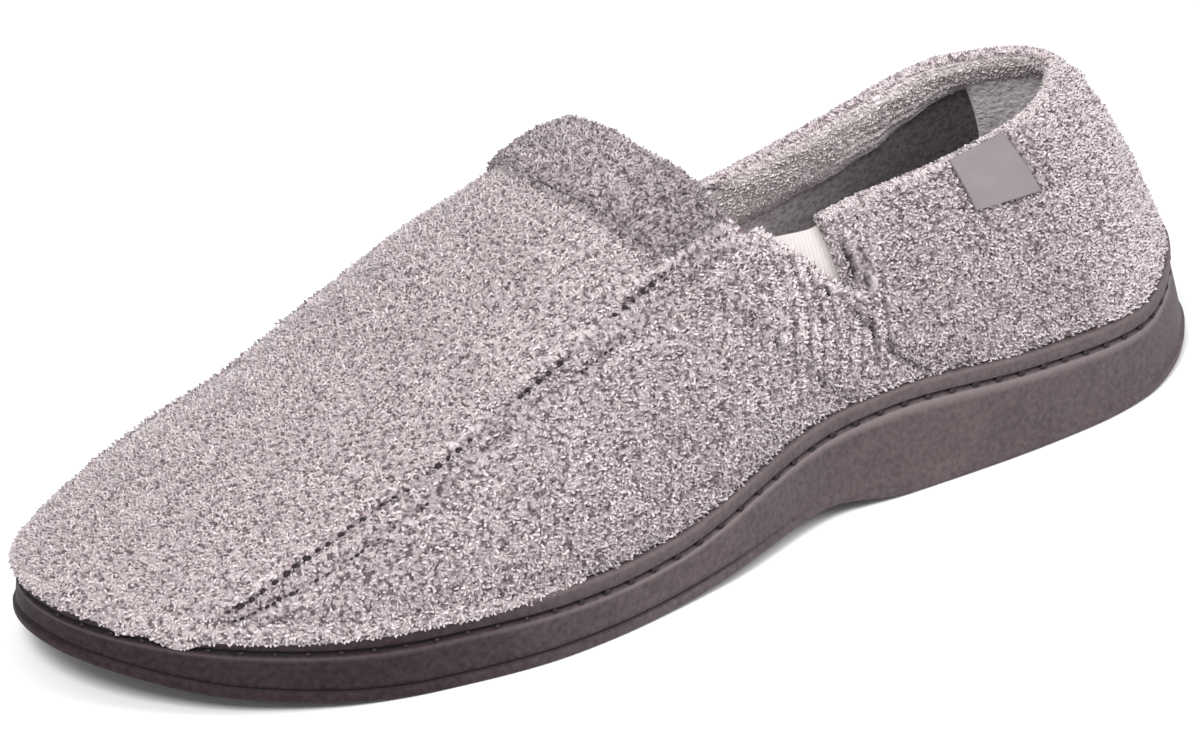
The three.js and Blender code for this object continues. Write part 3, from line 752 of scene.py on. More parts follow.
def add_node(tree, kind, links=None, **settings):
    """New node with its properties set and inputs linked or valued, by name or number."""
    node = tree.nodes.new(kind)
    for key, value in settings.items():
        setattr(node, key, value)
    for key, value in (links or {}).items():
        socket = node.inputs[key]
        if isinstance(value, bpy.types.NodeSocket):
            tree.links.new(value, socket)
        else:
            socket.default_value = value
    return node


def maths(tree, operation, a, b=0.0, c=0.0):
    return add_node(tree, "ShaderNodeMath", {0: a, 1: b, 2: c}, operation=operation).outputs[0]


def named(tree, name, kind="FLOAT"):
    node = add_node(tree, "GeometryNodeInputNamedAttribute", {"Name": name}, data_type=kind)
    return node.outputs["Attribute"]


def new_tree(name, **sizes):
    """Node tree with a geometry, named sizes, a seed and a finish as its inputs."""
    tree = bpy.data.node_groups.new(name, "GeometryNodeTree")
    face = tree.interface
    face.new_socket("Geometry", in_out="INPUT", socket_type="NodeSocketGeometry")
    for key, value in sizes.items():
        socket = face.new_socket(key.replace("_", " "), in_out="INPUT", socket_type="NodeSocketFloat")
        socket.default_value = value
    face.new_socket("Seed", in_out="INPUT", socket_type="NodeSocketInt")
    face.new_socket("Finish", in_out="INPUT", socket_type="NodeSocketMaterial")
    face.new_socket("Holes", in_out="INPUT", socket_type="NodeSocketObject")
    face.new_socket("Geometry", in_out="OUTPUT", socket_type="NodeSocketGeometry")
    return tree, tree.nodes.new("NodeGroupInput").outputs, tree.nodes.new("NodeGroupOutput").inputs


def finish_tree(tree, placed, finish, result):
    """Ends a tree: instances made real, with their finish."""
    real = add_node(tree, "GeometryNodeRealizeInstances", {"Geometry": placed})
    dyed = add_node(tree, "GeometryNodeSetMaterial", {"Geometry": real.outputs[0], "Material": finish})
    tree.links.new(dyed.outputs[0], result[0])


def turn_to(tree, upright, forward):
    """Rotation that sets Z along one named direction and turns X towards another."""
    stood = add_node(tree, "FunctionNodeAlignRotationToVector", {
        "Vector": named(tree, upright, "FLOAT_VECTOR")}, axis="Z")
    turned = add_node(tree, "FunctionNodeAlignRotationToVector", {
        "Rotation": stood.outputs[0], "Vector": named(tree, forward, "FLOAT_VECTOR")},
        axis="X", pivot_axis="Z")
    return turned.outputs[0]


def stored(tree, geometry, name, value, kind="FLOAT", domain="POINT"):
    """Geometry that carries a named value."""
    return add_node(tree, "GeometryNodeStoreNamedAttribute", {
        "Geometry": geometry, "Name": name, "Value": value}, data_type=kind, domain=domain).outputs[0]


# Shapes of a loop: where its foot and its tip stand, as shares of its width, and how high it bows
LOOP_SHAPES = ((-0.5, 0.5, 1.0), (-0.35, 0.7, 0.85), (-0.6, 0.35, 1.15))


def yarn_loop(tree, given, profile, foot, reach, height):
    """One loop: a bowed tube of yarn with its feet in the cloth, thickest in the middle."""
    ends = []
    for x, z in ((foot, -0.4), (reach * 0.3, 2.0 * height), (reach, -0.3)):
        across = maths(tree, "MULTIPLY", given["Loop width"], x)
        up = maths(tree, "MULTIPLY", given["Loop height"], z)
        ends.append(add_node(tree, "ShaderNodeCombineXYZ", {"X": across, "Z": up}).outputs[0])
    bow = add_node(tree, "GeometryNodeCurveQuadraticBezier", {
        "Resolution": 2, "Start": ends[0], "Middle": ends[1], "End": ends[2]})
    bent = add_node(tree, "GeometryNodeResampleCurve", {"Curve": bow.outputs[0], "Count": 3})
    part = tree.nodes.new("GeometryNodeSplineParameter").outputs["Factor"]
    arch = maths(tree, "SINE", maths(tree, "MULTIPLY", part, math.pi))
    tube = add_node(tree, "GeometryNodeCurveToMesh", {
        "Curve": stored(tree, bent.outputs[0], "yarn_along", part), "Profile Curve": profile,
        "Fill Caps": True, "Scale": maths(tree, "MULTIPLY_ADD", arch, 0.45, 0.55)})
    soft = add_node(tree, "GeometryNodeSetShadeSmooth", {"Geometry": tube.outputs[0]})
    return add_node(tree, "GeometryNodeGeometryToInstance", {0: soft.outputs[0]}).outputs[0]


def pile_tree():
    """Loops of yarn over a surface, bent one way, thinned by a cover value and kept off needle holes."""
    tree, given, result = new_tree(
        "terry_pile", Spacing=0.00074, Most_per_area=8e6, Loop_height=0.00085, Loop_width=0.00125,
        Yarn_radius=0.00031, Spread=3.4, Hole_radius=0.00105)

    def between(low, high, offset, kind="FLOAT"):
        seed = add_node(tree, "FunctionNodeIntegerMath", {0: given["Seed"], 1: offset}, operation="ADD")
        made = add_node(tree, "FunctionNodeRandomValue", {"Seed": seed.outputs[0]}, data_type=kind)
        spots = [s for s in made.inputs if s.enabled and s.name in ("Min", "Max")]
        spots[0].default_value, spots[1].default_value = low, high
        return next(s for s in made.outputs if s.enabled)

    spread = add_node(tree, "GeometryNodeDistributePointsOnFaces", {
        "Mesh": given["Geometry"], "Distance Min": given["Spacing"], "Density Max": given["Most per area"],
        "Density Factor": named(tree, "pile_cover"), "Seed": given["Seed"]}, distribute_method="POISSON")
    holes = add_node(tree, "GeometryNodeObjectInfo", {"Object": given["Holes"]}, transform_space="ORIGINAL")
    near = add_node(tree, "GeometryNodeProximity", {0: holes.outputs["Geometry"]}, target_element="POINTS")
    inside = add_node(tree, "FunctionNodeCompare", {0: near.outputs["Distance"], 1: given["Hole radius"]},
                      data_type="FLOAT", operation="LESS_THAN")
    held = stored(tree, spread.outputs["Points"], "pile_upright", spread.outputs["Normal"], "FLOAT_VECTOR")
    kept = add_node(tree, "GeometryNodeDeleteGeometry", {
        "Geometry": held, "Selection": inside.outputs[0]}, domain="POINT")
    profile = add_node(tree, "GeometryNodeCurvePrimitiveCircle", {
        "Resolution": 3, "Radius": given["Yarn radius"]})
    shapes = tree.nodes.new("GeometryNodeJoinGeometry")
    for shape in LOOP_SHAPES:
        tree.links.new(yarn_loop(tree, given, profile.outputs[0], *shape), shapes.inputs[0])
    angle = maths(tree, "MULTIPLY", between(-0.5, 0.5, 11), given["Spread"])
    spin = add_node(tree, "ShaderNodeCombineXYZ", {
        "X": between(-0.35, 0.35, 13), "Y": between(-0.15, 0.45, 14), "Z": angle})
    twisted = add_node(tree, "FunctionNodeRotateRotation", {
        "Rotation": turn_to(tree, "pile_upright", "pile_lean"), "Rotate By": spin.outputs[0]},
        rotation_space="LOCAL")
    size = maths(tree, "MULTIPLY", between(0.72, 1.28, 17), named(tree, "pile_length"))
    placed = add_node(tree, "GeometryNodeInstanceOnPoints", {
        "Points": kept.outputs[0], "Instance": shapes.outputs[0], "Pick Instance": True,
        "Instance Index": between(0, 2, 19, "INT"), "Rotation": twisted.outputs[0], "Scale": size})
    # Each loop's own random tone, plus the tone of its place, which carries painted light and shade
    tone = maths(tree, "ADD", between(0.0, 1.0, 23), named(tree, "pile_tone"))
    toned = stored(tree, placed.outputs[0], "yarn_tone", tone, domain="INSTANCE")
    finish_tree(tree, toned, given["Finish"], result)
    return tree


def row_tree():
    """Rounded beads set on points, as stitches or needle holes, by each point's own directions."""
    tree, given, result = new_tree("stitch_row", Length=0.002, Width=0.0008, Height=0.0006)
    ball = add_node(tree, "GeometryNodeMeshUVSphere", {"Segments": 8, "Rings": 5, "Radius": 0.5})
    soft = add_node(tree, "GeometryNodeSetShadeSmooth", {"Geometry": ball.outputs[0]})
    size = add_node(tree, "ShaderNodeCombineXYZ", {
        "X": given["Length"], "Y": given["Width"], "Z": given["Height"]})
    scale = add_node(tree, "ShaderNodeVectorMath", {
        0: size.outputs[0], "Scale": named(tree, "bead_size")}, operation="SCALE")
    placed = add_node(tree, "GeometryNodeInstanceOnPoints", {
        "Points": given["Geometry"], "Instance": soft.outputs[0],
        "Rotation": turn_to(tree, "bead_up", "bead_along"), "Scale": scale.outputs[0]})
    finish_tree(tree, placed.outputs[0], given["Finish"], result)
    return tree


def grow(carrier, tree, name, **values):
    """Plain mesh of what a tree makes on a carrier; the carrier goes."""
    modifier = carrier.modifiers.new("growth", "NODES")
    modifier.node_group = tree
    sockets = {s.name: s.identifier for s in tree.interface.items_tree if s.in_out == "INPUT"}
    for key, value in values.items():
        modifier[sockets[key.replace("_", " ")]] = value
    evaluated = carrier.evaluated_get(bpy.context.evaluated_depsgraph_get())
    mesh = bpy.data.meshes.new_from_object(evaluated)
    mesh.name = name
    carrier.modifiers.remove(modifier)
    bpy.data.objects.remove(carrier)
    piece = bpy.data.objects.new(name, mesh)
    bpy.context.scene.collection.objects.link(piece)
    return piece


def point_object(name, points, **attributes):
    """Object of loose points, which carry beads or mark holes."""
    return mesh_object(name, points, np.zeros((0, 4), int), attributes, weld=0)


# Finishes

def new_material(name, **values):
    """Node material with constant values on its shader, by socket name."""
    material = bpy.data.materials.new(name)
    material.use_nodes = True
    tree = material.node_tree
    shader = tree.nodes["Principled BSDF"]
    for key, value in values.items():
        shader.inputs[key.replace("_", " ")].default_value = value
    return material, tree, shader


def ramp(tree, factor, *stops):
    """Colour by a factor, between stops of place and colour."""
    made = add_node(tree, "ShaderNodeValToRGB", {0: factor})
    elements = made.color_ramp.elements
    while len(elements) < len(stops):
        elements.new(0.5)
    for element, (place, colour) in zip(elements, stops):
        element.position = place
        element.color = (*colour, 1)
    return made.outputs[0]


def attribute(tree, name):
    return add_node(tree, "ShaderNodeAttribute", attribute_name=name).outputs["Fac"]


def object_place(tree):
    return add_node(tree, "ShaderNodeTexCoord").outputs["Object"]


def noise(tree, scale, detail=2.0, roughness=0.5):
    return add_node(tree, "ShaderNodeTexNoise", {
        "Vector": object_place(tree), "Scale": scale, "Detail": detail, "Roughness": roughness}).outputs[0]


def toward_toe(tree, start, end):
    """Share from 0 to 1 along the slipper, between two places in metres."""
    axes = add_node(tree, "ShaderNodeSeparateXYZ", {0: object_place(tree)}).outputs
    return add_node(tree, "ShaderNodeMapRange", {0: axes[0], 1: start, 2: end},
                    interpolation_type="SMOOTHSTEP").outputs[0]


def threads(tree, scale, distortion, axis):
    """Even threads or ribs across one axis."""
    node = add_node(tree, "ShaderNodeTexWave", {
        "Vector": object_place(tree), "Scale": scale, "Distortion": distortion}, bands_direction=axis)
    return node.outputs[0]


def set_colour(tree, shader, colour):
    tree.links.new(colour, shader.inputs["Base Color"])


def bump(tree, shader, height, strength, distance):
    made = add_node(tree, "ShaderNodeBump", {"Height": height, "Strength": strength, "Distance": distance})
    tree.links.new(made.outputs[0], shader.inputs["Normal"])


def mix(tree, factor, a, b, blend="MIX"):
    """Two colours mixed, or one times the other."""
    node = add_node(tree, "ShaderNodeMix", {"Factor": factor, 6: a, 7: b}, data_type="RGBA", blend_type=blend)
    return node.outputs[2]


def pit_shade(tree, depth):
    """Painted shade of small hollows between the tufts, at the same places in the yarn and in the cloth under
    it.
    """
    hollow = (1 - depth, 1 - 1.07 * depth, 1 - 1.05 * depth)
    return ramp(tree, noise(tree, 880.0, 1.0), (0.36, hollow), (0.52, (1.0, 1.0, 1.0)))


def yarn_material(name, dark, light, tint, foot_shade, pit):
    """Heathered yarn: each loop has its own tone, fine fibres show in it, and its feet are darker with
    painted shade, as are the pits between the loops.
    """
    material, tree, shader = new_material(
        name, Roughness=0.85, Sheen_Weight=0.2, Sheen_Roughness=0.5, Specular_IOR_Level=0.2)
    clouds = maths(tree, "MULTIPLY_ADD", noise(tree, 45.0, 3.0), 0.5, -0.25)
    fibres = maths(tree, "MULTIPLY_ADD", noise(tree, 1500.0, 2.0), 0.5, -0.25)
    tone = maths(tree, "ADD", attribute(tree, "yarn_tone"), maths(tree, "ADD", clouds, fibres))
    shadow = tuple(a * 0.4 for a in dark)
    middle = tuple(a * 0.45 + b * 0.55 for a, b in zip(dark, light))
    colour = ramp(tree, maths(tree, "MULTIPLY_ADD", tone, 0.5, 0.5),
                  (0.0, shadow), (0.5, dark), (0.65, middle), (0.85, light), (1.0, tint))
    arch = maths(tree, "SINE", maths(tree, "MULTIPLY", attribute(tree, "yarn_along"), math.pi))
    foot = ramp(tree, arch, (0.0, (foot_shade,) * 3), (0.85, (1.0, 1.0, 1.0)))
    shaded = mix(tree, 1.0, colour, foot, "MULTIPLY")
    set_colour(tree, shader, mix(tree, 1.0, shaded, pit_shade(tree, pit), "MULTIPLY"))
    bump(tree, shader, noise(tree, 2600.0, 1.0), 0.3, 0.0001)
    return material


CLOTH = {"Roughness": 0.95, "Sheen_Weight": 0.3, "Specular_IOR_Level": 0.15}


def ground_material():
    """Woven ground of the terry, seen between the loops, with painted shade in its pits and the painted light
    and shade of the pile's tone.
    """
    material, tree, shader = new_material("terry_ground", **CLOTH)
    fine = noise(tree, 1100.0, 3.0, 0.6)
    weave = ramp(tree, fine, (0.38, (0.4, 0.333, 0.347)), (0.62, (0.8, 0.697, 0.717)))
    pitted = mix(tree, 1.0, weave, pit_shade(tree, 0.7), "MULTIPLY")
    # Painted light and shade: the ground darkens where the pile's tone is low, in the seams' valleys and sunk
    # lines, and lightens where it is high
    sunk = ramp(tree, maths(tree, "MULTIPLY_ADD", attribute(tree, "ground_tone_with_painted_light"), 0.5, 0.5),
                (0.0, (0.08, 0.066, 0.07)), (0.5, (0.6, 0.6, 0.6)), (1.0, (1.0, 1.0, 1.0)))
    set_colour(tree, shader, mix(tree, 1.0, pitted, sunk, "MULTIPLY"))
    bump(tree, shader, fine, 0.6, 0.0005)
    return material


def cloth_material(name, dark, light, scale, strength, distance):
    """Soft cloth with a short curly nap."""
    material, tree, shader = new_material(name, **CLOTH)
    fine = noise(tree, scale, 4.0, 0.65)
    blend = maths(tree, "MULTIPLY_ADD", noise(tree, 60.0), 0.3, maths(tree, "MULTIPLY", fine, 0.7))
    set_colour(tree, shader, ramp(tree, blend, (0.4, dark), (0.6, light)))
    bump(tree, shader, fine, strength, distance)
    return material


def lining_material():
    """Short plush of the lining, lighter towards the notches and darker deep in the heel: painted light and
    shade.
    """
    material, tree, shader = new_material("plush_lining", **CLOTH)
    toward = toward_toe(tree, -0.095, -0.02)
    fine = noise(tree, 800.0, 4.0, 0.65)
    # Painted shade deep in the heel, painted light towards the notches
    rear = ramp(tree, fine, (0.4, (0.03, 0.021, 0.023)), (0.6, (0.125, 0.098, 0.103)))
    fore = ramp(tree, fine, (0.4, (0.44, 0.385, 0.392)), (0.6, (0.84, 0.775, 0.783)))
    set_colour(tree, shader, mix(tree, toward, rear, fore))
    bump(tree, shader, fine, 0.5, 0.0005)
    return material


def rubber_material():
    """Matt moulded rubber with a fine pebble and dull scuffs, darker towards the toe as painted shade."""
    material, tree, shader = new_material("sole_rubber", Specular_IOR_Level=0.15)
    toward = toward_toe(tree, 0.02, 0.105)
    pebble = maths(tree, "MULTIPLY", noise(tree, 800.0, 3.0), 0.75)
    mottle = maths(tree, "MULTIPLY_ADD", noise(tree, 90.0, 3.0), 0.25, pebble)
    # Painted shade: the rubber is made much darker towards the toe
    rear = ramp(tree, mottle, (0.35, (0.06, 0.044, 0.047)), (0.65, (0.1, 0.077, 0.08)))
    fore = ramp(tree, mottle, (0.35, (0.013, 0.006, 0.009)), (0.65, (0.029, 0.018, 0.021)))
    body = mix(tree, toward, rear, fore)
    # Painted highlight on the rounded edge under the groove and on the rim
    edge = mix(tree, attribute(tree, "painted_edge_highlight"), body, (0.2, 0.165, 0.17, 1))
    set_colour(tree, shader, mix(tree, attribute(tree, "groove_shade"), edge, (0.01, 0.008, 0.009, 1)))
    bump(tree, shader, noise(tree, 1500.0, 3.0), 0.5, 0.0003)
    scuffs = add_node(tree, "ShaderNodeMapRange", {0: noise(tree, 300.0, 5.0, 0.7), 3: 0.5, 4: 0.72})
    tree.links.new(scuffs.outputs[0], shader.inputs["Roughness"])
    return material


def elastic_material():
    """Fine ribbed knit elastic."""
    material, tree, shader = new_material("gusset_elastic", Roughness=0.8, Sheen_Weight=0.15)
    ribs, cross = threads(tree, 330.0, 0.8, "X"), threads(tree, 620.0, 1.2, "Z")
    knit = maths(tree, "MULTIPLY_ADD", cross, 0.4, maths(tree, "MULTIPLY", ribs, 0.6))
    set_colour(tree, shader, ramp(tree, knit, (0.0, (0.5, 0.455, 0.455)), (1.0, (0.6, 0.555, 0.555))))
    bump(tree, shader, knit, 0.3, 0.00015)
    return material


def tab_material():
    """Close satin weave of the label tab."""
    material, tree, shader = new_material("tab_weave", Roughness=0.55, Sheen_Weight=0.1)
    weave = maths(tree, "MULTIPLY", threads(tree, 820.0, 0.5, "X"), threads(tree, 820.0, 0.5, "Z"))
    soft = maths(tree, "MULTIPLY_ADD", noise(tree, 160.0, 3.0), 0.5, maths(tree, "MULTIPLY", weave, 0.5))
    set_colour(tree, shader, ramp(tree, soft, (0.1, (0.15, 0.13, 0.134)), (0.8, (0.24, 0.21, 0.215))))
    bump(tree, shader, weave, 0.25, 0.00015)
    return material


def plain_yarn_material(name, dark, light):
    """Twisted sewing thread or the shadow in a needle hole."""
    material, tree, shader = new_material(name, Roughness=0.9, Specular_IOR_Level=0.1)
    set_colour(tree, shader, ramp(tree, noise(tree, 1800.0, 2.0), (0.3, dark), (0.7, light)))
    bump(tree, shader, noise(tree, 3000.0), 0.3, 0.0001)
    return material


# Sole and insole

def ring(way, out, height, slanted=True):
    """Ring round the sole, off its outline and at a height for each place."""
    share = share_of(way)
    slant = slant_at(share) if slanted else 0
    return np.concatenate([outline_off(way, out - slant), height(share)[..., None]], -1)


def across_rings(points, row, steps):
    """Sheet of points from the outer to the inner side between the two halves of a closed ring."""
    half = len(points) // 2
    column = np.arange(half + 1)
    edge_a = points[(half + column) % len(points), row]
    edge_b = points[(half - column) % len(points), row]
    return edge_a[:, None] + (edge_b - edge_a)[:, None] * np.linspace(0, 1, steps)[None, :, None]


def ring_body(name, rings, steps, material, values=(), under_depth=None):
    """Closed body of a stack of rings, with a sheet across the first, which may be hollowed, and the last."""
    points = np.stack(rings, 1)
    count, rows = points.shape[:2]
    under, over = across_rings(points, 0, steps), across_rings(points, rows - 1, steps)
    if under_depth:
        under[..., 2] += under_depth(under)
    first, sheet = count * rows, under.shape[:2]
    second = first + sheet[0] * sheet[1]
    faces = [grid_faces(count, rows, loop=True), grid_faces(*sheet, first, flip=True),
             grid_faces(*sheet, second)]
    plain = np.zeros(2 * sheet[0] * sheet[1])
    values = {key: np.append(value.ravel(), plain) for key, value in dict(values).items()}
    points = np.concatenate([part.reshape(-1, 3) for part in (points, under, over)])
    return mesh_object(name, points, np.concatenate(faces)[:, ::-1], values, [material])


# Groove of the sole's side wall, as shares of its depth and half height
GROOVE_PROFILE = ((-0.12, -0.8), (-0.45, -0.55), (-0.85, -0.25), (-1.0, 0.0), (-0.85, 0.25), (-0.45, 0.55),
                  (-0.12, 0.8), (0, 1.05))

# Rings of the sole's wall by number: lip line, edge under the groove, groove, rim; lip line and groove are
# darkened with painted shade, the edge and the rim lightened with painted highlights
LIP_RINGS = slice(7, 9)
LEDGE_RING = 16
GROOVE_RINGS = slice(18, 23)
RIM_RINGS = slice(25, 29)
GROOVE_SHADE = np.array([0.1, 0.5, 0.8, 0.5, 0.1])
GROOVE_SHADE_AT_TOE = np.array([0.3, 0.4, 0.2, 0.4, 0.3])
RIM_PAINTED_HIGHLIGHT = (0.1, 0.25, 0.3, 0.2)


def build_sole(material):
    """Unit sole: side wall with lip line and stitched groove, rim, tray and underside."""
    way = np.linspace(-1, 1, 861)[:-1]
    share = share_of(way)
    lip = LIP_STEP * smooth(share, 0.42, 0.6)
    quarter = np.linspace(0, math.pi / 2, 5)

    def low_ring(out, rise):
        return ring(way, out, lambda share: bottom_at(share) + rise, False)

    def groove_ring(out, drop):
        return ring(way, out, lambda share: rim_at(share) - RIM_HEIGHT + drop)

    def rim_ring(out, drop):
        return ring(way, out, lambda share: rim_at(share) + drop)

    rings = [low_ring(SOLE_FLARE - EDGE_ROUND * (1 - math.sin(turn)), EDGE_ROUND * (1 - math.cos(turn)))
             for turn in quarter]
    rings += [low_ring(SOLE_FLARE, LIP_HEIGHT - 0.2), low_ring(SOLE_FLARE - 0.25 * lip, LIP_HEIGHT),
              low_ring(SOLE_FLARE - 1.6 * lip, LIP_HEIGHT + 0.25),
              low_ring(SOLE_FLARE - 1.6 * lip, LIP_HEIGHT + 0.55),
              low_ring(SOLE_FLARE - LIP_STEP, LIP_HEIGHT + 0.9)]
    low, high = rings[-1], groove_ring(0, -GROOVE_HALF - 0.25)
    rings += [low + (high - low) * u for u in np.linspace(0, 1, 8)[1:]]
    rings += [groove_ring(depth * GROOVE_DEPTH, drop * GROOVE_HALF) for depth, drop in GROOVE_PROFILE]
    rings += [rim_ring(-EDGE_ROUND * (1 - math.cos(turn)), -EDGE_ROUND * (1 - math.sin(turn)))
              for turn in quarter]
    rings += [rim_ring(-LEDGE_WIDTH * 0.5, 0), rim_ring(-LEDGE_WIDTH, 0),
              ring(way, -LEDGE_WIDTH - TRAY_TAPER, tray_at)]
    shade, light = np.zeros((len(way), len(rings))), np.zeros((len(way), len(rings)))
    # Painted shade in the groove and under the lip line, painted highlights on the edge under the groove and
    # on the rim
    shade[:, GROOVE_RINGS] = GROOVE_SHADE + GROOVE_SHADE_AT_TOE * smooth(share, 0.6, 0.85)[:, None]
    shade[:, LIP_RINGS] = (0.7 * lip / LIP_STEP)[:, None]
    light[:, LEDGE_RING] = 0.8 - 0.6 * smooth(share, 0.55, 0.8)
    light[:, RIM_RINGS] = RIM_PAINTED_HIGHLIGHT

    def channels(sheet):
        at = share_of(np.append(way[len(way) // 2:], 1.0))
        depth = 0
        for channel in CHANNEL_SHARES:
            gap = np.abs(at - channel) * SOLE_LENGTH - CHANNEL_WIDTH / 2
            span = float(along(OUTLINE, channel, "lateral")) * BALL_WIDTH / 2
            reach = smooth(span - np.abs(sheet[..., 1]), -0.3, 0.3)
            depth = depth + CHANNEL_DEPTH * smooth(-gap, -0.25, 0.25)[:, None] * reach
        return depth

    return ring_body("sole_unit", rings, 27, material, {"groove_shade": shade, "painted_edge_highlight": light}, channels)


# Needle marks in the sole's groove: distance from one to the next, and of the first from the heel's end
GROOVE_PITCH = 6.45
GROOVE_FIRST = 1.6


def build_groove_stitches(tree, material):
    """Needle marks in the groove as near-black beads of painted shadow, evenly spaced round the sole from the
    heel's end.
    """
    way = np.linspace(0.0, 1.0, 1500)
    marks = []

    def in_groove(share):
        return rim_at(share) - RIM_HEIGHT

    for sign in (1, -1):
        length = run_length(ring(sign * way, -0.35, in_groove))
        stops = np.interp(np.arange(GROOVE_FIRST, length[-1] - 2, GROOVE_PITCH), length, way)
        point = ring(sign * stops, -0.17, in_groove)
        run = ring(sign * stops + 0.002, 0, rim_at) - ring(sign * stops - 0.002, 0, rim_at)
        up = np.concatenate([outward(sign * stops), np.zeros((len(stops), 1))], -1)
        marks.append((point, run, up, 0.6 + 0.6 * (1 - smooth(share_of(stops), 0.6, 0.8))))
    point, run, up, size = (np.concatenate(part) for part in zip(*marks))
    carrier = point_object("groove_points", point, bead_along=run, bead_up=up, bead_size=size)
    return grow(carrier, tree, "groove_stitches", Length=0.0017, Width=0.0013, Height=0.0007, Finish=material)


def build_insole(material):
    """Foam footbed with rounded edges, in the tray."""
    way = np.linspace(-1, 1, 221)[:-1]
    edge = -LEDGE_WIDTH - TRAY_TAPER - INSOLE_EDGE_GAP

    def round_ring(inset, rise):
        return ring(way, edge - INSOLE_ROUND * inset, lambda share: tray_at(share) + SEAT_GAP + rise)

    quarter = np.linspace(0, math.pi / 2, 4)
    rings = [round_ring(1 - math.sin(turn), INSOLE_ROUND * (1 - math.cos(turn))) for turn in quarter]
    rings += [round_ring(1 - math.cos(turn), INSOLE_THICKNESS - INSOLE_ROUND * (1 - math.sin(turn)))
              for turn in quarter]
    return ring_body("footbed", rings, 13, material)


# Panels laid on the upper

def shell(name, way, rise, outside, inside, material):
    """Closed body of a patch of the last between two offsets, given over a grid."""
    outer, inner = face_point(way, rise, outside), face_point(way, rise, inside)
    return closed_sheet(name, outer, inner, face_normal(way, rise), material), outer, inner


def closed_sheet(name, outer, inner, facing, material):
    """Closed body between two grids of points."""
    count, rows = outer.shape[:2]
    faces = wall_faces(count, rows, rows, True)
    points = np.concatenate([outer.reshape(-1, 3), inner.reshape(-1, 3)])
    if normals_agree(outer, facing) < 0:
        faces = faces[:, ::-1]
    return mesh_object(name, points, faces, materials=[material])


def normals_agree(points, facing):
    """Whether a grid's quads, as grid_faces winds them, look the way that they should: above 0 if so."""
    across = points[1:, :-1] - points[:-1, :-1]
    up = points[:-1, 1:] - points[:-1, :-1]
    return float((np.cross(across, up) * facing[:-1, :-1]).sum())


def patch_grid(ways, low, top, columns=40, rows=40):
    """Ways and rises over a patch between two ways, from a rise up to a share of the edge."""
    way = ways[0] + (ways[1] - ways[0]) * np.linspace(0, 1, columns)[:, None] + np.zeros(rows)[None]
    high = top_of(way) * top
    return way, low + (high - low) * np.linspace(0, 1, rows)[None]


def below_edge(way, drop):
    """Rise of the point of the last's face a given length below the collar edge."""
    top = top_of(way)
    scale = np.linalg.norm(last_point(way, top) - last_point(way, top - 0.02), axis=-1) / 0.02
    return top - drop / scale


# Way at which the collar facing ends on each side, and its rolled wrinkles, in millimetres
FACING_END = 0.408
WRINKLE_DEPTH = 0.28
WRINKLE_PITCH = 2.1


def build_facing(material):
    """Band of the same terry turned in along the collar, with fine rolled wrinkles at its foot."""
    way = np.linspace(-FACING_END, FACING_END, 250)[:, None] + np.zeros(26)[None]
    height = 12 + 5 * smooth(np.abs(way), 0.2, 0.33)
    drop = height + (0.9 - height) * np.linspace(0, 1, 26)[None]
    rise = below_edge(way, drop)
    base = last_point(way, rise)
    thick = 0.3 + 0.9 * smooth(drop, 0.9, 3.2) * (1 - smooth(drop, height - 4, height))
    wrinkled = smooth(drop, 5.5, 8) * smooth(-way, 0.17, 0.2) * (1 - smooth(-way, 0.3, 0.36))
    wrinkled = wrinkled * (1 - smooth(drop, height - 1, height))
    fold = np.sin(2 * np.pi * (drop + 0.6 * soft_noise(base, 14, 31)) / WRINKLE_PITCH)
    thick = thick + WRINKLE_DEPTH * wrinkled * fold
    thick = thick + soft_noise(base, 9, 32) * 0.15 * smooth(drop, 0.9, 3)
    ends = smooth(FACING_END - np.abs(way), 0, 0.012)
    inside = -UPPER_WALL - 0.05 - np.maximum(thick, 0.1) * (0.1 + 0.9 * ends)
    outside = np.full(way.shape, -UPPER_WALL + 0.25)
    piece, _, inner = shell("collar_facing", way, rise, outside, inside, material)
    foot = smooth(drop, height * 0.45, height)
    return piece, {"points": inner, "facing": -face_normal(way, rise), "tone": 0.1 - 0.4 * foot,
                   "length": 1 - 0.55 * foot, "cover": 1 - 0.5 * foot}


# Ways between which the heel patch lies
HEEL_PATCH = (-0.186, 0.186)


def build_heel_patch(material):
    """Suede-like patch that lines the heel inside, below the facing: paler than the lining, and near white in
    part as painted light on the heel's inside.
    """
    way, rise = patch_grid(HEEL_PATCH, 0.06, 0.86, 64, 36)
    across = np.abs(np.linspace(-1, 1, 64))[:, None]
    edge = np.sqrt(np.maximum(0, 1 - smooth(across, 0.94, 1.0) ** 2))
    puff = soft_noise(last_point(way, rise), 12, 41) * 0.12
    inside = -UPPER_WALL - 0.15 - (0.75 + puff) * edge
    return shell("heel_patch", way, rise, np.full(way.shape, -UPPER_WALL + 0.2), inside, material)[0]


def overhang_of(way):
    """How far the terry hangs over the rim, in millimetres: a little round the toe, more at one soft lump."""
    turn = np.abs(wrap(way))
    lump = bell(way - 0.862, 0.018) + 0.6 * bell(way - 0.905, 0.014)
    return 0.9 * smooth(turn, 0.7, 0.82) + 2.6 * lump


# Section of the toe roll, from its inner edge to its lowest: how far out, how high, and its share of the lump
ROLL_OUT = np.array([-3.2, -2.0, -0.9, -0.1, 0.35, 0.45, 0.3])
ROLL_RISE = np.array([2.2, 2.0, 1.5, 0.8, 0.0, -0.5, -1.0])
ROLL_HANG = np.array([0, 0, 0, 0.2, 0.5, 0.8, 1.0])
ROLL_THICKNESS = 0.7


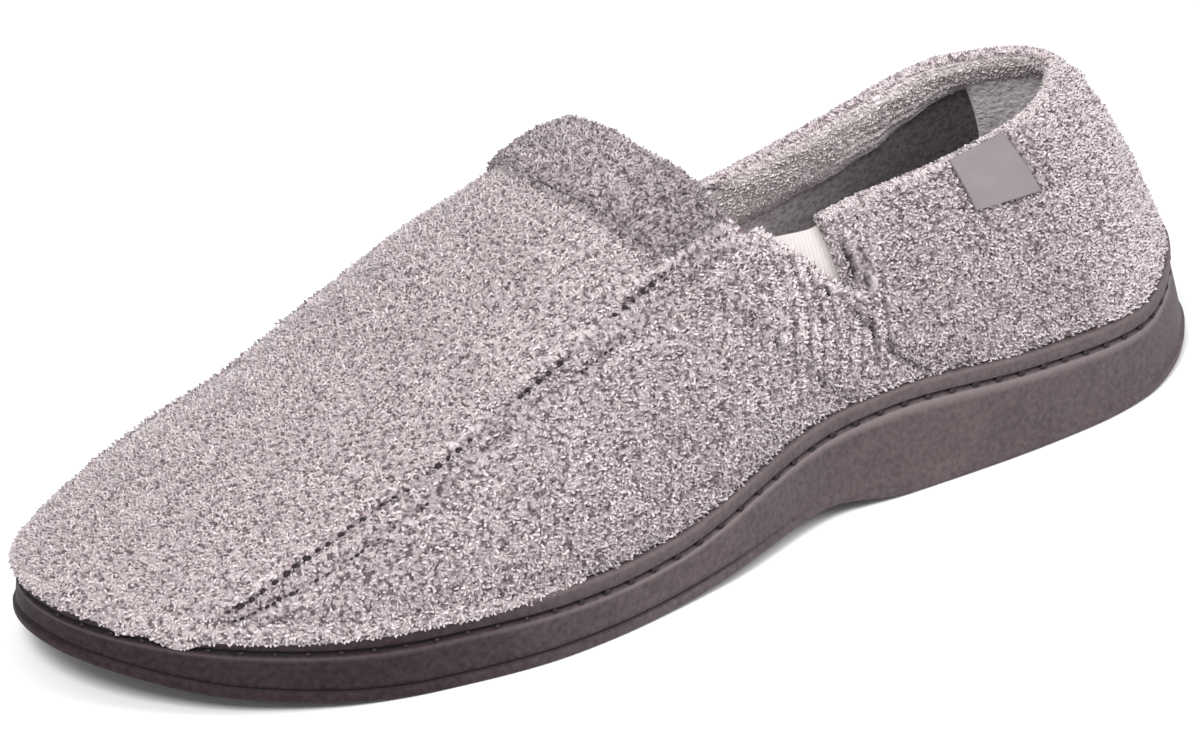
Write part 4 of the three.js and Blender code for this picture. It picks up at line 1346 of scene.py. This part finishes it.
def build_toe_roll(material):
    """Roll of terry that bulges over the rim round the toe."""
    way = np.linspace(0.62, 1.38, 300)
    drop = overhang_of(way)
    ends = smooth(0.38 - np.abs(way - 1), 0, 0.06)
    rim = rim_at(share_of(way))
    out = ROLL_OUT[None] - 1.4 * (1 - ends)[:, None] + 0 * way[:, None]
    height = rim[:, None] + ROLL_RISE[None] * (0.4 + 0.6 * ends)[:, None] - ROLL_HANG[None] * drop[:, None]
    place = np.concatenate([outline_off(way[:, None] + 0 * out, out), height[..., None]], -1)
    run, climb = np.gradient(place, axis=0), np.gradient(place, axis=1)
    facing = np.cross(climb, run)
    facing /= np.linalg.norm(facing, axis=-1, keepdims=True) + 1e-9
    side = np.concatenate([outward(way), np.full((len(way), 1), 0.5)], -1)
    facing *= np.sign((facing * side[:, None]).sum(-1, keepdims=True).mean())
    piece = closed_sheet("toe_roll", place, place - facing * ROLL_THICKNESS, facing, material)
    return piece, {"points": place, "facing": facing, "tone": 0.12, "lean": climb}


def cuff_grid():
    """Ways and rises over the turned cuff, from side to side and from its rear edge to its seam."""
    side = np.linspace(0, 1, 62)
    rises = CUFF_FOOT + (1 - CUFF_FOOT) * np.sin(side * np.pi / 2)
    ways, heights = [], []
    back = spaced(40, (0.008, 0.02, 0.04, 0.06), (0.01, 0.03))
    for sign, order in ((1, rises), (-1, rises[::-1][1:])):
        rear = np.where(order < 1, rear_edge(np.minimum(order, 0.999999), sign), THROAT_WAY)
        front = along(WING_FRONT, order, "way")
        ways.append(sign * (rear[:, None] + (front - rear)[:, None] * back[None]))
        heights.append(np.repeat(order[:, None], len(back), 1))
    return np.concatenate(ways), np.concatenate(heights), back


def build_cuff(material):
    """Turned cuff: rolled full at its rear edge, thinner towards the seam that holds it in front."""
    way, rise, back = cuff_grid()
    across = np.abs(np.linspace(-1, 1, way.shape[0]))
    ends = np.sqrt(np.maximum(0, 1 - np.clip((across - 0.9) / 0.1, 0, 1) ** 2))
    roll = np.sqrt(np.maximum(0, 1 - np.clip((0.13 - back) / 0.13, 0, 1) ** 2))
    taper = 1 - 0.3 * smooth(back, 0.42, 0.95)
    seam = 1 - 0.85 * smooth(back, 0.93, 1.0)
    thick = CUFF_THICKNESS * ((0.35 + 0.65 * ends)[:, None] * (0.12 + 0.88 * roll * taper * seam)[None])
    base = last_point(way, rise)
    thick = thick + soft_noise(base, 12, 9) * 0.3 * smooth(thick, 0.8, 2)
    piece, outer, _ = shell("cuff_cloth", way, rise, SEAT_GAP + thick, np.full(way.shape, SEAT_GAP), material)
    # Painted light and shade: lighter along the rolled rear edge, darker towards the seam, darker low down
    # and darker all over
    tone = 0.6 * (1 - smooth(back, 0.02, 0.06)) - 0.3 * smooth(back, 0.93, 1.0)
    tone = tone[None] - 0.35 - 0.6 * (1 - smooth(rise, 0.68, 0.88))
    return piece, {"points": outer, "facing": face_normal(way, rise), "tone": tone}


# Pile on patches of grids of points

def pile_carrier(name, points, facing, keep=None, cover=1.0, length=1.0, tone=0.0, lean=None):
    """Temporary surface that carries the pile, of the grid cells that are kept."""
    count, rows = points.shape[:2]
    faces = grid_faces(count, rows, flip=normals_agree(points, facing) < 0)
    if keep is not None:
        faces = faces[keep[:-1, :-1].ravel()]
    used, compact = np.unique(faces, return_inverse=True)
    lean = down_the_face(points) if lean is None else lean
    full = np.zeros((count, rows))
    values = {"pile_cover": (full + cover).ravel()[used], "pile_length": (full + length).ravel()[used],
              "pile_tone": (full + tone).ravel()[used], "pile_lean": lean.reshape(-1, 3)[used]}
    return mesh_object(name + "_carrier", points.reshape(-1, 3)[used], compact.reshape(-1, 4), values, weld=0)


def down_the_face(points):
    """Unit direction down each column of a grid."""
    run = np.gradient(points, axis=1)
    return -run / (np.linalg.norm(run, axis=-1, keepdims=True) + 1e-9)


def edge_strip(way, rise, inward):
    """Half-round strip over a free edge of the upper, for the pile that wraps it."""
    radius = UPPER_WALL / 2
    normal = face_normal(way, rise)
    inward = unit(inward)
    middle = last_point(way, rise) - normal * radius + inward * radius
    turn = np.linspace(-0.1, np.pi * 0.95, 9)[None, :, None]
    spoke = normal[:, None] * np.cos(turn) - inward[:, None] * np.sin(turn)
    return middle[:, None] + spoke * (radius + 0.05), spoke


def edge_rows(panel, front):
    """Way, rise and inward direction along each free edge of a panel."""
    way, rise, base, low = panel["way"], panel["rise"], panel["base"], panel["low_rows"] - 1
    rows = [(way[0, low:], rise[0, low:], base[3, low:] - base[0, low:]),
            (way[-1, low:], rise[-1, low:], base[-4, low:] - base[-1, low:])]
    inward = base[:, -4] - base[:, -1]
    if not front:
        return [*rows, (way[:, -1], rise[:, -1], inward)]
    free = np.abs(wrap(way[:, -1])) < THROAT_WAY
    half = len(free) // 2
    for part in (slice(0, half), slice(half, None)):
        rows.append((way[part, -1][free[part]], rise[part, -1][free[part]], inward[part][free[part]]))
    return rows


def seam_points(pitch, start, names=("upper", "lower")):
    """Points, directions and sizes at even stops along the needle rows of the apron seam."""
    found = []
    for sign in (1, -1):
        for name in names:
            way, rise = row_stops(*apron_row(name), pitch, start)
            here = seam_surface(sign * way, rise)
            run = seam_surface(sign * (way + 0.002), along(APRON, way + 0.002, name)) - here
            size = np.full(len(way), 1.0 if name == "upper" else 0.72)
            found.append((here, run, face_normal(sign * way, rise), size))
    return [np.concatenate(part) for part in zip(*found)]


def seam_surface(way, rise):
    """Bottom of the needle rows: the sunk face at the apron seam."""
    return face_point(way, rise, raise_of(way, rise) - 0.45)


def grow_row(tree, name, marks, finish, **sizes):
    """Beads on points, given with their directions and sizes."""
    here, run, up, size = marks
    carrier = point_object(name + "_points", here, bead_along=run, bead_up=up, bead_size=size)
    return grow(carrier, tree, name, Finish=finish, **sizes)


def build_seam(tree, hole_material, thread_material):
    """Needle holes under the apron and the stitched line below them, as near-black beads of painted shadow,
    and the bars of terry between.
    """
    draw = np.random.default_rng(21)
    here, run, up, size = seam_points(PIT_PITCH, PIT_PITCH / 2, ("upper",))
    by_cuff = 1 - smooth(here[:, 0], here[:, 0].min() + 5, here[:, 0].min() + 60)
    size = size * draw.uniform(0.6, 1.1, len(size)) * (1 - 0.5 * by_cuff)
    here = here + unit(run) * draw.uniform(-0.35, 0.35, (len(size), 1))
    holes = grow_row(tree, "needle_holes", (here, run, up, size), hole_material,
                     Length=0.0019, Width=0.0021, Height=0.001)
    here, run, up, size = seam_points(PIT_PITCH / 2, 0.5, ("lower",))
    size = size * draw.uniform(0.25, 1.3, len(size))
    sideways = np.cross(up, run) / np.linalg.norm(run, axis=-1, keepdims=True)
    here = here + sideways * draw.uniform(-0.25, 0.25, (len(size), 1))
    line = grow_row(tree, "stitched_line", (here, run, up, size), hole_material,
                    Length=0.0015, Width=0.001, Height=0.0008)
    bars = []
    for sign in (1, -1):
        way, rise = row_stops(*apron_row("upper"), PIT_PITCH, PIT_PITCH)
        above, below = (seam_surface(sign * way, along(APRON, way, name)) for name in ("upper", "lower"))
        gap, up = below - above, face_normal(sign * way, rise)
        size = np.linalg.norm(gap, axis=-1) * draw.uniform(0.6, 0.85, len(gap)) / 4
        bars.append((above + 0.42 * gap + 0.65 * up, gap, up, size))
    stitches = grow_row(tree, "bridging_bars", [np.concatenate(part) for part in zip(*bars)], thread_material,
                        Length=0.0038, Width=0.001, Height=0.0011)
    return [holes, line, stitches]


# Sizes of the loops, in metres, where they aren't the tree's own
APRON_LOOPS = {"Spacing": 0.0007, "Loop_height": 0.0007, "Loop_width": 0.0011, "Yarn_radius": 0.00028}
EDGE_LOOPS = {"Spacing": 0.00062, "Loop_width": 0.0012, "Yarn_radius": 0.00028, "Spread": 2.2}
FACING_LOOPS = {"Spacing": 0.0007, "Loop_height": 0.0003, "Loop_width": 0.0012, "Yarn_radius": 0.0003}
EDGE_LOOP_HEIGHT = 0.00036

# Pile on each free edge: how tall, what tone, and whether it leans along the edge (0) or across it (1)
WING_EDGE = (2.6, 0.8, 0)
THROAT_EDGE = (1.0, 0.8, 0)
QUARTER_EDGE = (1.0, -0.4, 0)
COLLAR_EDGE = (1.0, 0.8, 1)
EDGE_PILE = (WING_EDGE, WING_EDGE, THROAT_EDGE, THROAT_EDGE, QUARTER_EDGE, QUARTER_EDGE, COLLAR_EDGE)

# Yarns: dark, light and brightest colour, and how dark the painted shade is at the loops' feet and in the
# pits between them
YARNS = {
    "terry_yarn": ((0.43, 0.37, 0.38), (0.61, 0.537, 0.549), (0.67, 0.595, 0.607), 0.62, 0.5),
    # The sides' and the cuff's yarn: the same terry, a little darker, with deeper painted shade in its pits
    # and at its loops' feet
    "shaded_terry_yarn": ((0.38, 0.322, 0.333), (0.57, 0.5, 0.512), (0.68, 0.605, 0.618), 0.52, 0.72),
    # The facing's yarn: the same terry made much paler, as painted light inside the collar
    "facing_yarn_painted_light": ((0.56, 0.49, 0.497), (0.78, 0.7, 0.708), (0.86, 0.785, 0.793), 0.8, 0.35)}

# Cloths: dark and light colour, scale of the nap, and strength and depth of its relief
# The heel patch's suede, near white in part as painted light on the heel's inside
SUEDE_WITH_PAINTED_LIGHT = ((0.62, 0.55, 0.558), (1.0, 0.95, 0.955), 760.0, 1.0, 0.0009)
# The facing's ground, made paler as painted light inside the collar
FACING_GROUND_PAINTED_LIGHT = ((0.4, 0.35, 0.355), (0.8, 0.74, 0.745), 900.0, 0.7, 0.0006)

# Threads: dark and light colour
SHADOW = ((0.012, 0.009, 0.01), (0.05, 0.04, 0.042))
THREAD = ((0.3, 0.262, 0.268), (0.56, 0.51, 0.515))


def cover_panels(add_pile, yarn, shaded_yarn):
    """Pile on each region of the two panels, then on their free edges."""
    edges = []
    for front in (True, False):
        panel = panel_surface(front, *PILE_GRID)
        way, rise = panel["way"], panel["rise"]
        turn, outer = np.abs(wrap(way)), wrap(way) >= 0
        regions = {"outer_quarter_pile": outer, "inner_quarter_pile": ~outer}
        if front:
            apron = (rise > along(APRON, turn, "upper")) | (turn > APRON_END + 0.03)
            regions = {"apron_pile": apron, "outer_pile": ~apron & outer, "inner_pile": ~apron & ~outer}
        facing = face_normal(way, rise)
        for name, keep in regions.items():
            finish, sizes = (yarn, APRON_LOOPS) if name == "apron_pile" else (shaded_yarn, {})
            add_pile(name, pile_carrier(name, panel["outer"], facing, keep, **panel["pile"]), finish, **sizes)
        edges += edge_rows(panel, front)
    for number, (edge, (height, tone, across)) in enumerate(zip(edges, EDGE_PILE), 1):
        points, facing = edge_strip(*edge)
        name = f"edge_pile_{number}"
        lean = np.gradient(points, axis=across)
        carrier = pile_carrier(name, points, facing, tone=tone, length=height ** 0.5, lean=lean)
        add_pile(name, carrier, yarn, Loop_height=EDGE_LOOP_HEIGHT * height, **EDGE_LOOPS)


def build_gusset(name, sign, material):
    """Elastic panel inside the notch of one side."""
    rear, front = sign * GUSSET_PLACE["rear"], sign * GUSSET_PLACE["front"]
    way, rise = patch_grid((rear, front), GUSSET_PLACE["foot"], GUSSET_PLACE["top"])
    outside = np.full(way.shape, -UPPER_WALL - SEAT_GAP)
    return shell(name, way, rise, outside, outside - GUSSET_THICKNESS, material)[0]


def build_tab(material):
    """Blank woven tab on the outer quarter."""
    way, rise = patch_grid((TAB_PLACE["rear"], TAB_PLACE["front"]), TAB_PLACE["foot"], TAB_PLACE["top"])
    outside, inside = np.full(way.shape, SEAT_GAP + TAB_THICKNESS), np.full(way.shape, SEAT_GAP)
    return shell("blank_tab", way, rise, outside, inside, material)[0]


def main():
    """Builds every piece, hides the model's parts that they cover, and hangs every piece on the root body."""
    yarn, shaded_yarn, inside_yarn_painted_light = (yarn_material(name, *look) for name, look in YARNS.items())
    ground, lining = ground_material(), lining_material()
    shadow = plain_yarn_material("needle_shadow", *SHADOW)
    tree, beads = pile_tree(), row_tree()
    hole_marks = point_object("hole_marks", seam_points(PIT_PITCH, PIT_PITCH / 2)[0])
    pile = []

    def add_pile(name, carrier, finish, **values):
        pile.append(grow(carrier, tree, name, Seed=len(pile) + 1, Finish=finish, Holes=hole_marks, **values))

    cloth = [build_cloth("vamp_cloth", True, [ground, lining]),
             build_cloth("quarter_cloth", False, [ground, lining])]
    cover_panels(add_pile, yarn, shaded_yarn)
    facing_piece, band = build_facing(cloth_material("facing_ground_painted_light", *FACING_GROUND_PAINTED_LIGHT))
    carrier = pile_carrier("facing_pile", **band, lean=np.gradient(band["points"], axis=0))
    add_pile("facing_pile", carrier, inside_yarn_painted_light, **FACING_LOOPS)
    roll, rolled = build_toe_roll(ground)
    add_pile("toe_pile", pile_carrier("toe_pile", **rolled), yarn, **APRON_LOOPS)
    cuff, turned = build_cuff(ground)
    add_pile("cuff_pile", pile_carrier("cuff_pile", **turned), shaded_yarn)
    elastic = elastic_material()
    gussets = [build_gusset("outer_gusset", 1, elastic), build_gusset("inner_gusset", -1, elastic)]
    tab = build_tab(tab_material())
    seam = build_seam(beads, shadow, plain_yarn_material("seam_thread", *THREAD))
    heel_patch = build_heel_patch(cloth_material("heel_suede", *SUEDE_WITH_PAINTED_LIGHT))
    sole = build_sole(rubber_material())
    groove = build_groove_stitches(beads, shadow)
    # The footbed wears the lining's plush, with its painted shade deep in the heel
    insole = build_insole(lining)
    bpy.data.objects.remove(hole_marks)

    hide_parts("upper")
    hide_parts("instep_cuff")
    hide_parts("gusset_lateral")
    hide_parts("gusset_medial")
    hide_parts("label_tab")
    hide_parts("outsole")
    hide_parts("insole")
    slots = {"terry": [*cloth, *pile, cuff, roll, facing_piece, heel_patch, *seam, insole],
             "elastic": gussets, "tab": [tab], "outsole": [sole, groove]}
    for slot, pieces in slots.items():
        for piece in pieces:
            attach(piece, "root")


# Stage

# Strength of the light all round, half the floor's side in metres, and the lamps: place, size and power
ROUND_LIGHT = 0.72
FLOOR_REACH = 6
LAMPS = {"key": ((0.95, 0.75, 1.25), 0.5, 24), "fill": ((-0.55, 0.9, 1.1), 0.8, 10)}
LAMP_AIM = (0, 0, 0.03)


def area_light(name, place, size, power):
    """Square lamp that looks at the slipper."""
    data = bpy.data.lights.new(name, "AREA")
    data.energy, data.size = power, size
    light = bpy.data.objects.new(name, data)
    light.location = place
    light.rotation_euler = (Vector(LAMP_AIM) - Vector(place)).to_track_quat("-Z", "Y").to_euler()
    bpy.context.scene.collection.objects.link(light)


def build_stage():
    """White paper floor and a large soft studio light all round."""
    scene = bpy.context.scene
    world = bpy.data.worlds.new("studio")
    world.use_nodes = True
    light = world.node_tree.nodes["Background"].inputs
    light[0].default_value = (1, 1, 1, 1)
    light[1].default_value = ROUND_LIGHT
    scene.world = world
    scene.view_settings.view_transform = "Standard"
    floor_mesh = bpy.data.meshes.new("floor")
    corners = [(FLOOR_REACH * x, FLOOR_REACH * y, 0) for x, y in ((-1, -1), (1, -1), (1, 1), (-1, 1))]
    floor_mesh.from_pydata(corners, [], [(0, 1, 2, 3)])
    floor = bpy.data.objects.new("floor", floor_mesh)
    scene.collection.objects.link(floor)
    material = new_material("floor_paper", Base_Color=(0.93, 0.93, 0.93, 1), Roughness=0.9)[0]
    floor_mesh.materials.append(material)
    for name, (place, size, power) in LAMPS.items():
        area_light(name, place, size, power)


def build_camera():
    """Camera at the photograph's viewing angle."""
    turn, tip = math.radians(CAMERA_AZIMUTH), math.radians(CAMERA_ELEVATION)
    back = Vector((math.sin(turn) * math.cos(tip), math.cos(turn) * math.cos(tip), math.sin(tip)))
    target = Vector(to_frame((SOLE_LENGTH / 2, 0, CAMERA_TARGET_HEIGHT))[0])
    place = target + back * CAMERA_DISTANCE * MM
    right = Vector((0, 0, 1)).cross(back).normalized()
    upward = back.cross(right)
    roll = math.radians(CAMERA_ROLL)
    rolled_right = right * math.cos(roll) + upward * math.sin(roll)
    rolled_up = upward * math.cos(roll) - right * math.sin(roll)
    away = (-back + rolled_right * AIM_OFFSET[0] + rolled_up * AIM_OFFSET[1]).normalized()
    side = away.cross(rolled_up).normalized()
    over = side.cross(away)
    data = bpy.data.cameras.new("camera")
    data.lens, data.sensor_width = CAMERA_LENS, SENSOR_WIDTH
    data.clip_start, data.clip_end = CAMERA_REACH
    camera = bpy.data.objects.new("camera", data)
    rows = [(side[k], over[k], -away[k], place[k]) for k in range(3)]
    camera.matrix_world = Matrix([*rows, (0, 0, 0, 1)])
    bpy.context.scene.collection.objects.link(camera)
    bpy.context.scene.camera = camera


main()
build_stage()
build_camera()
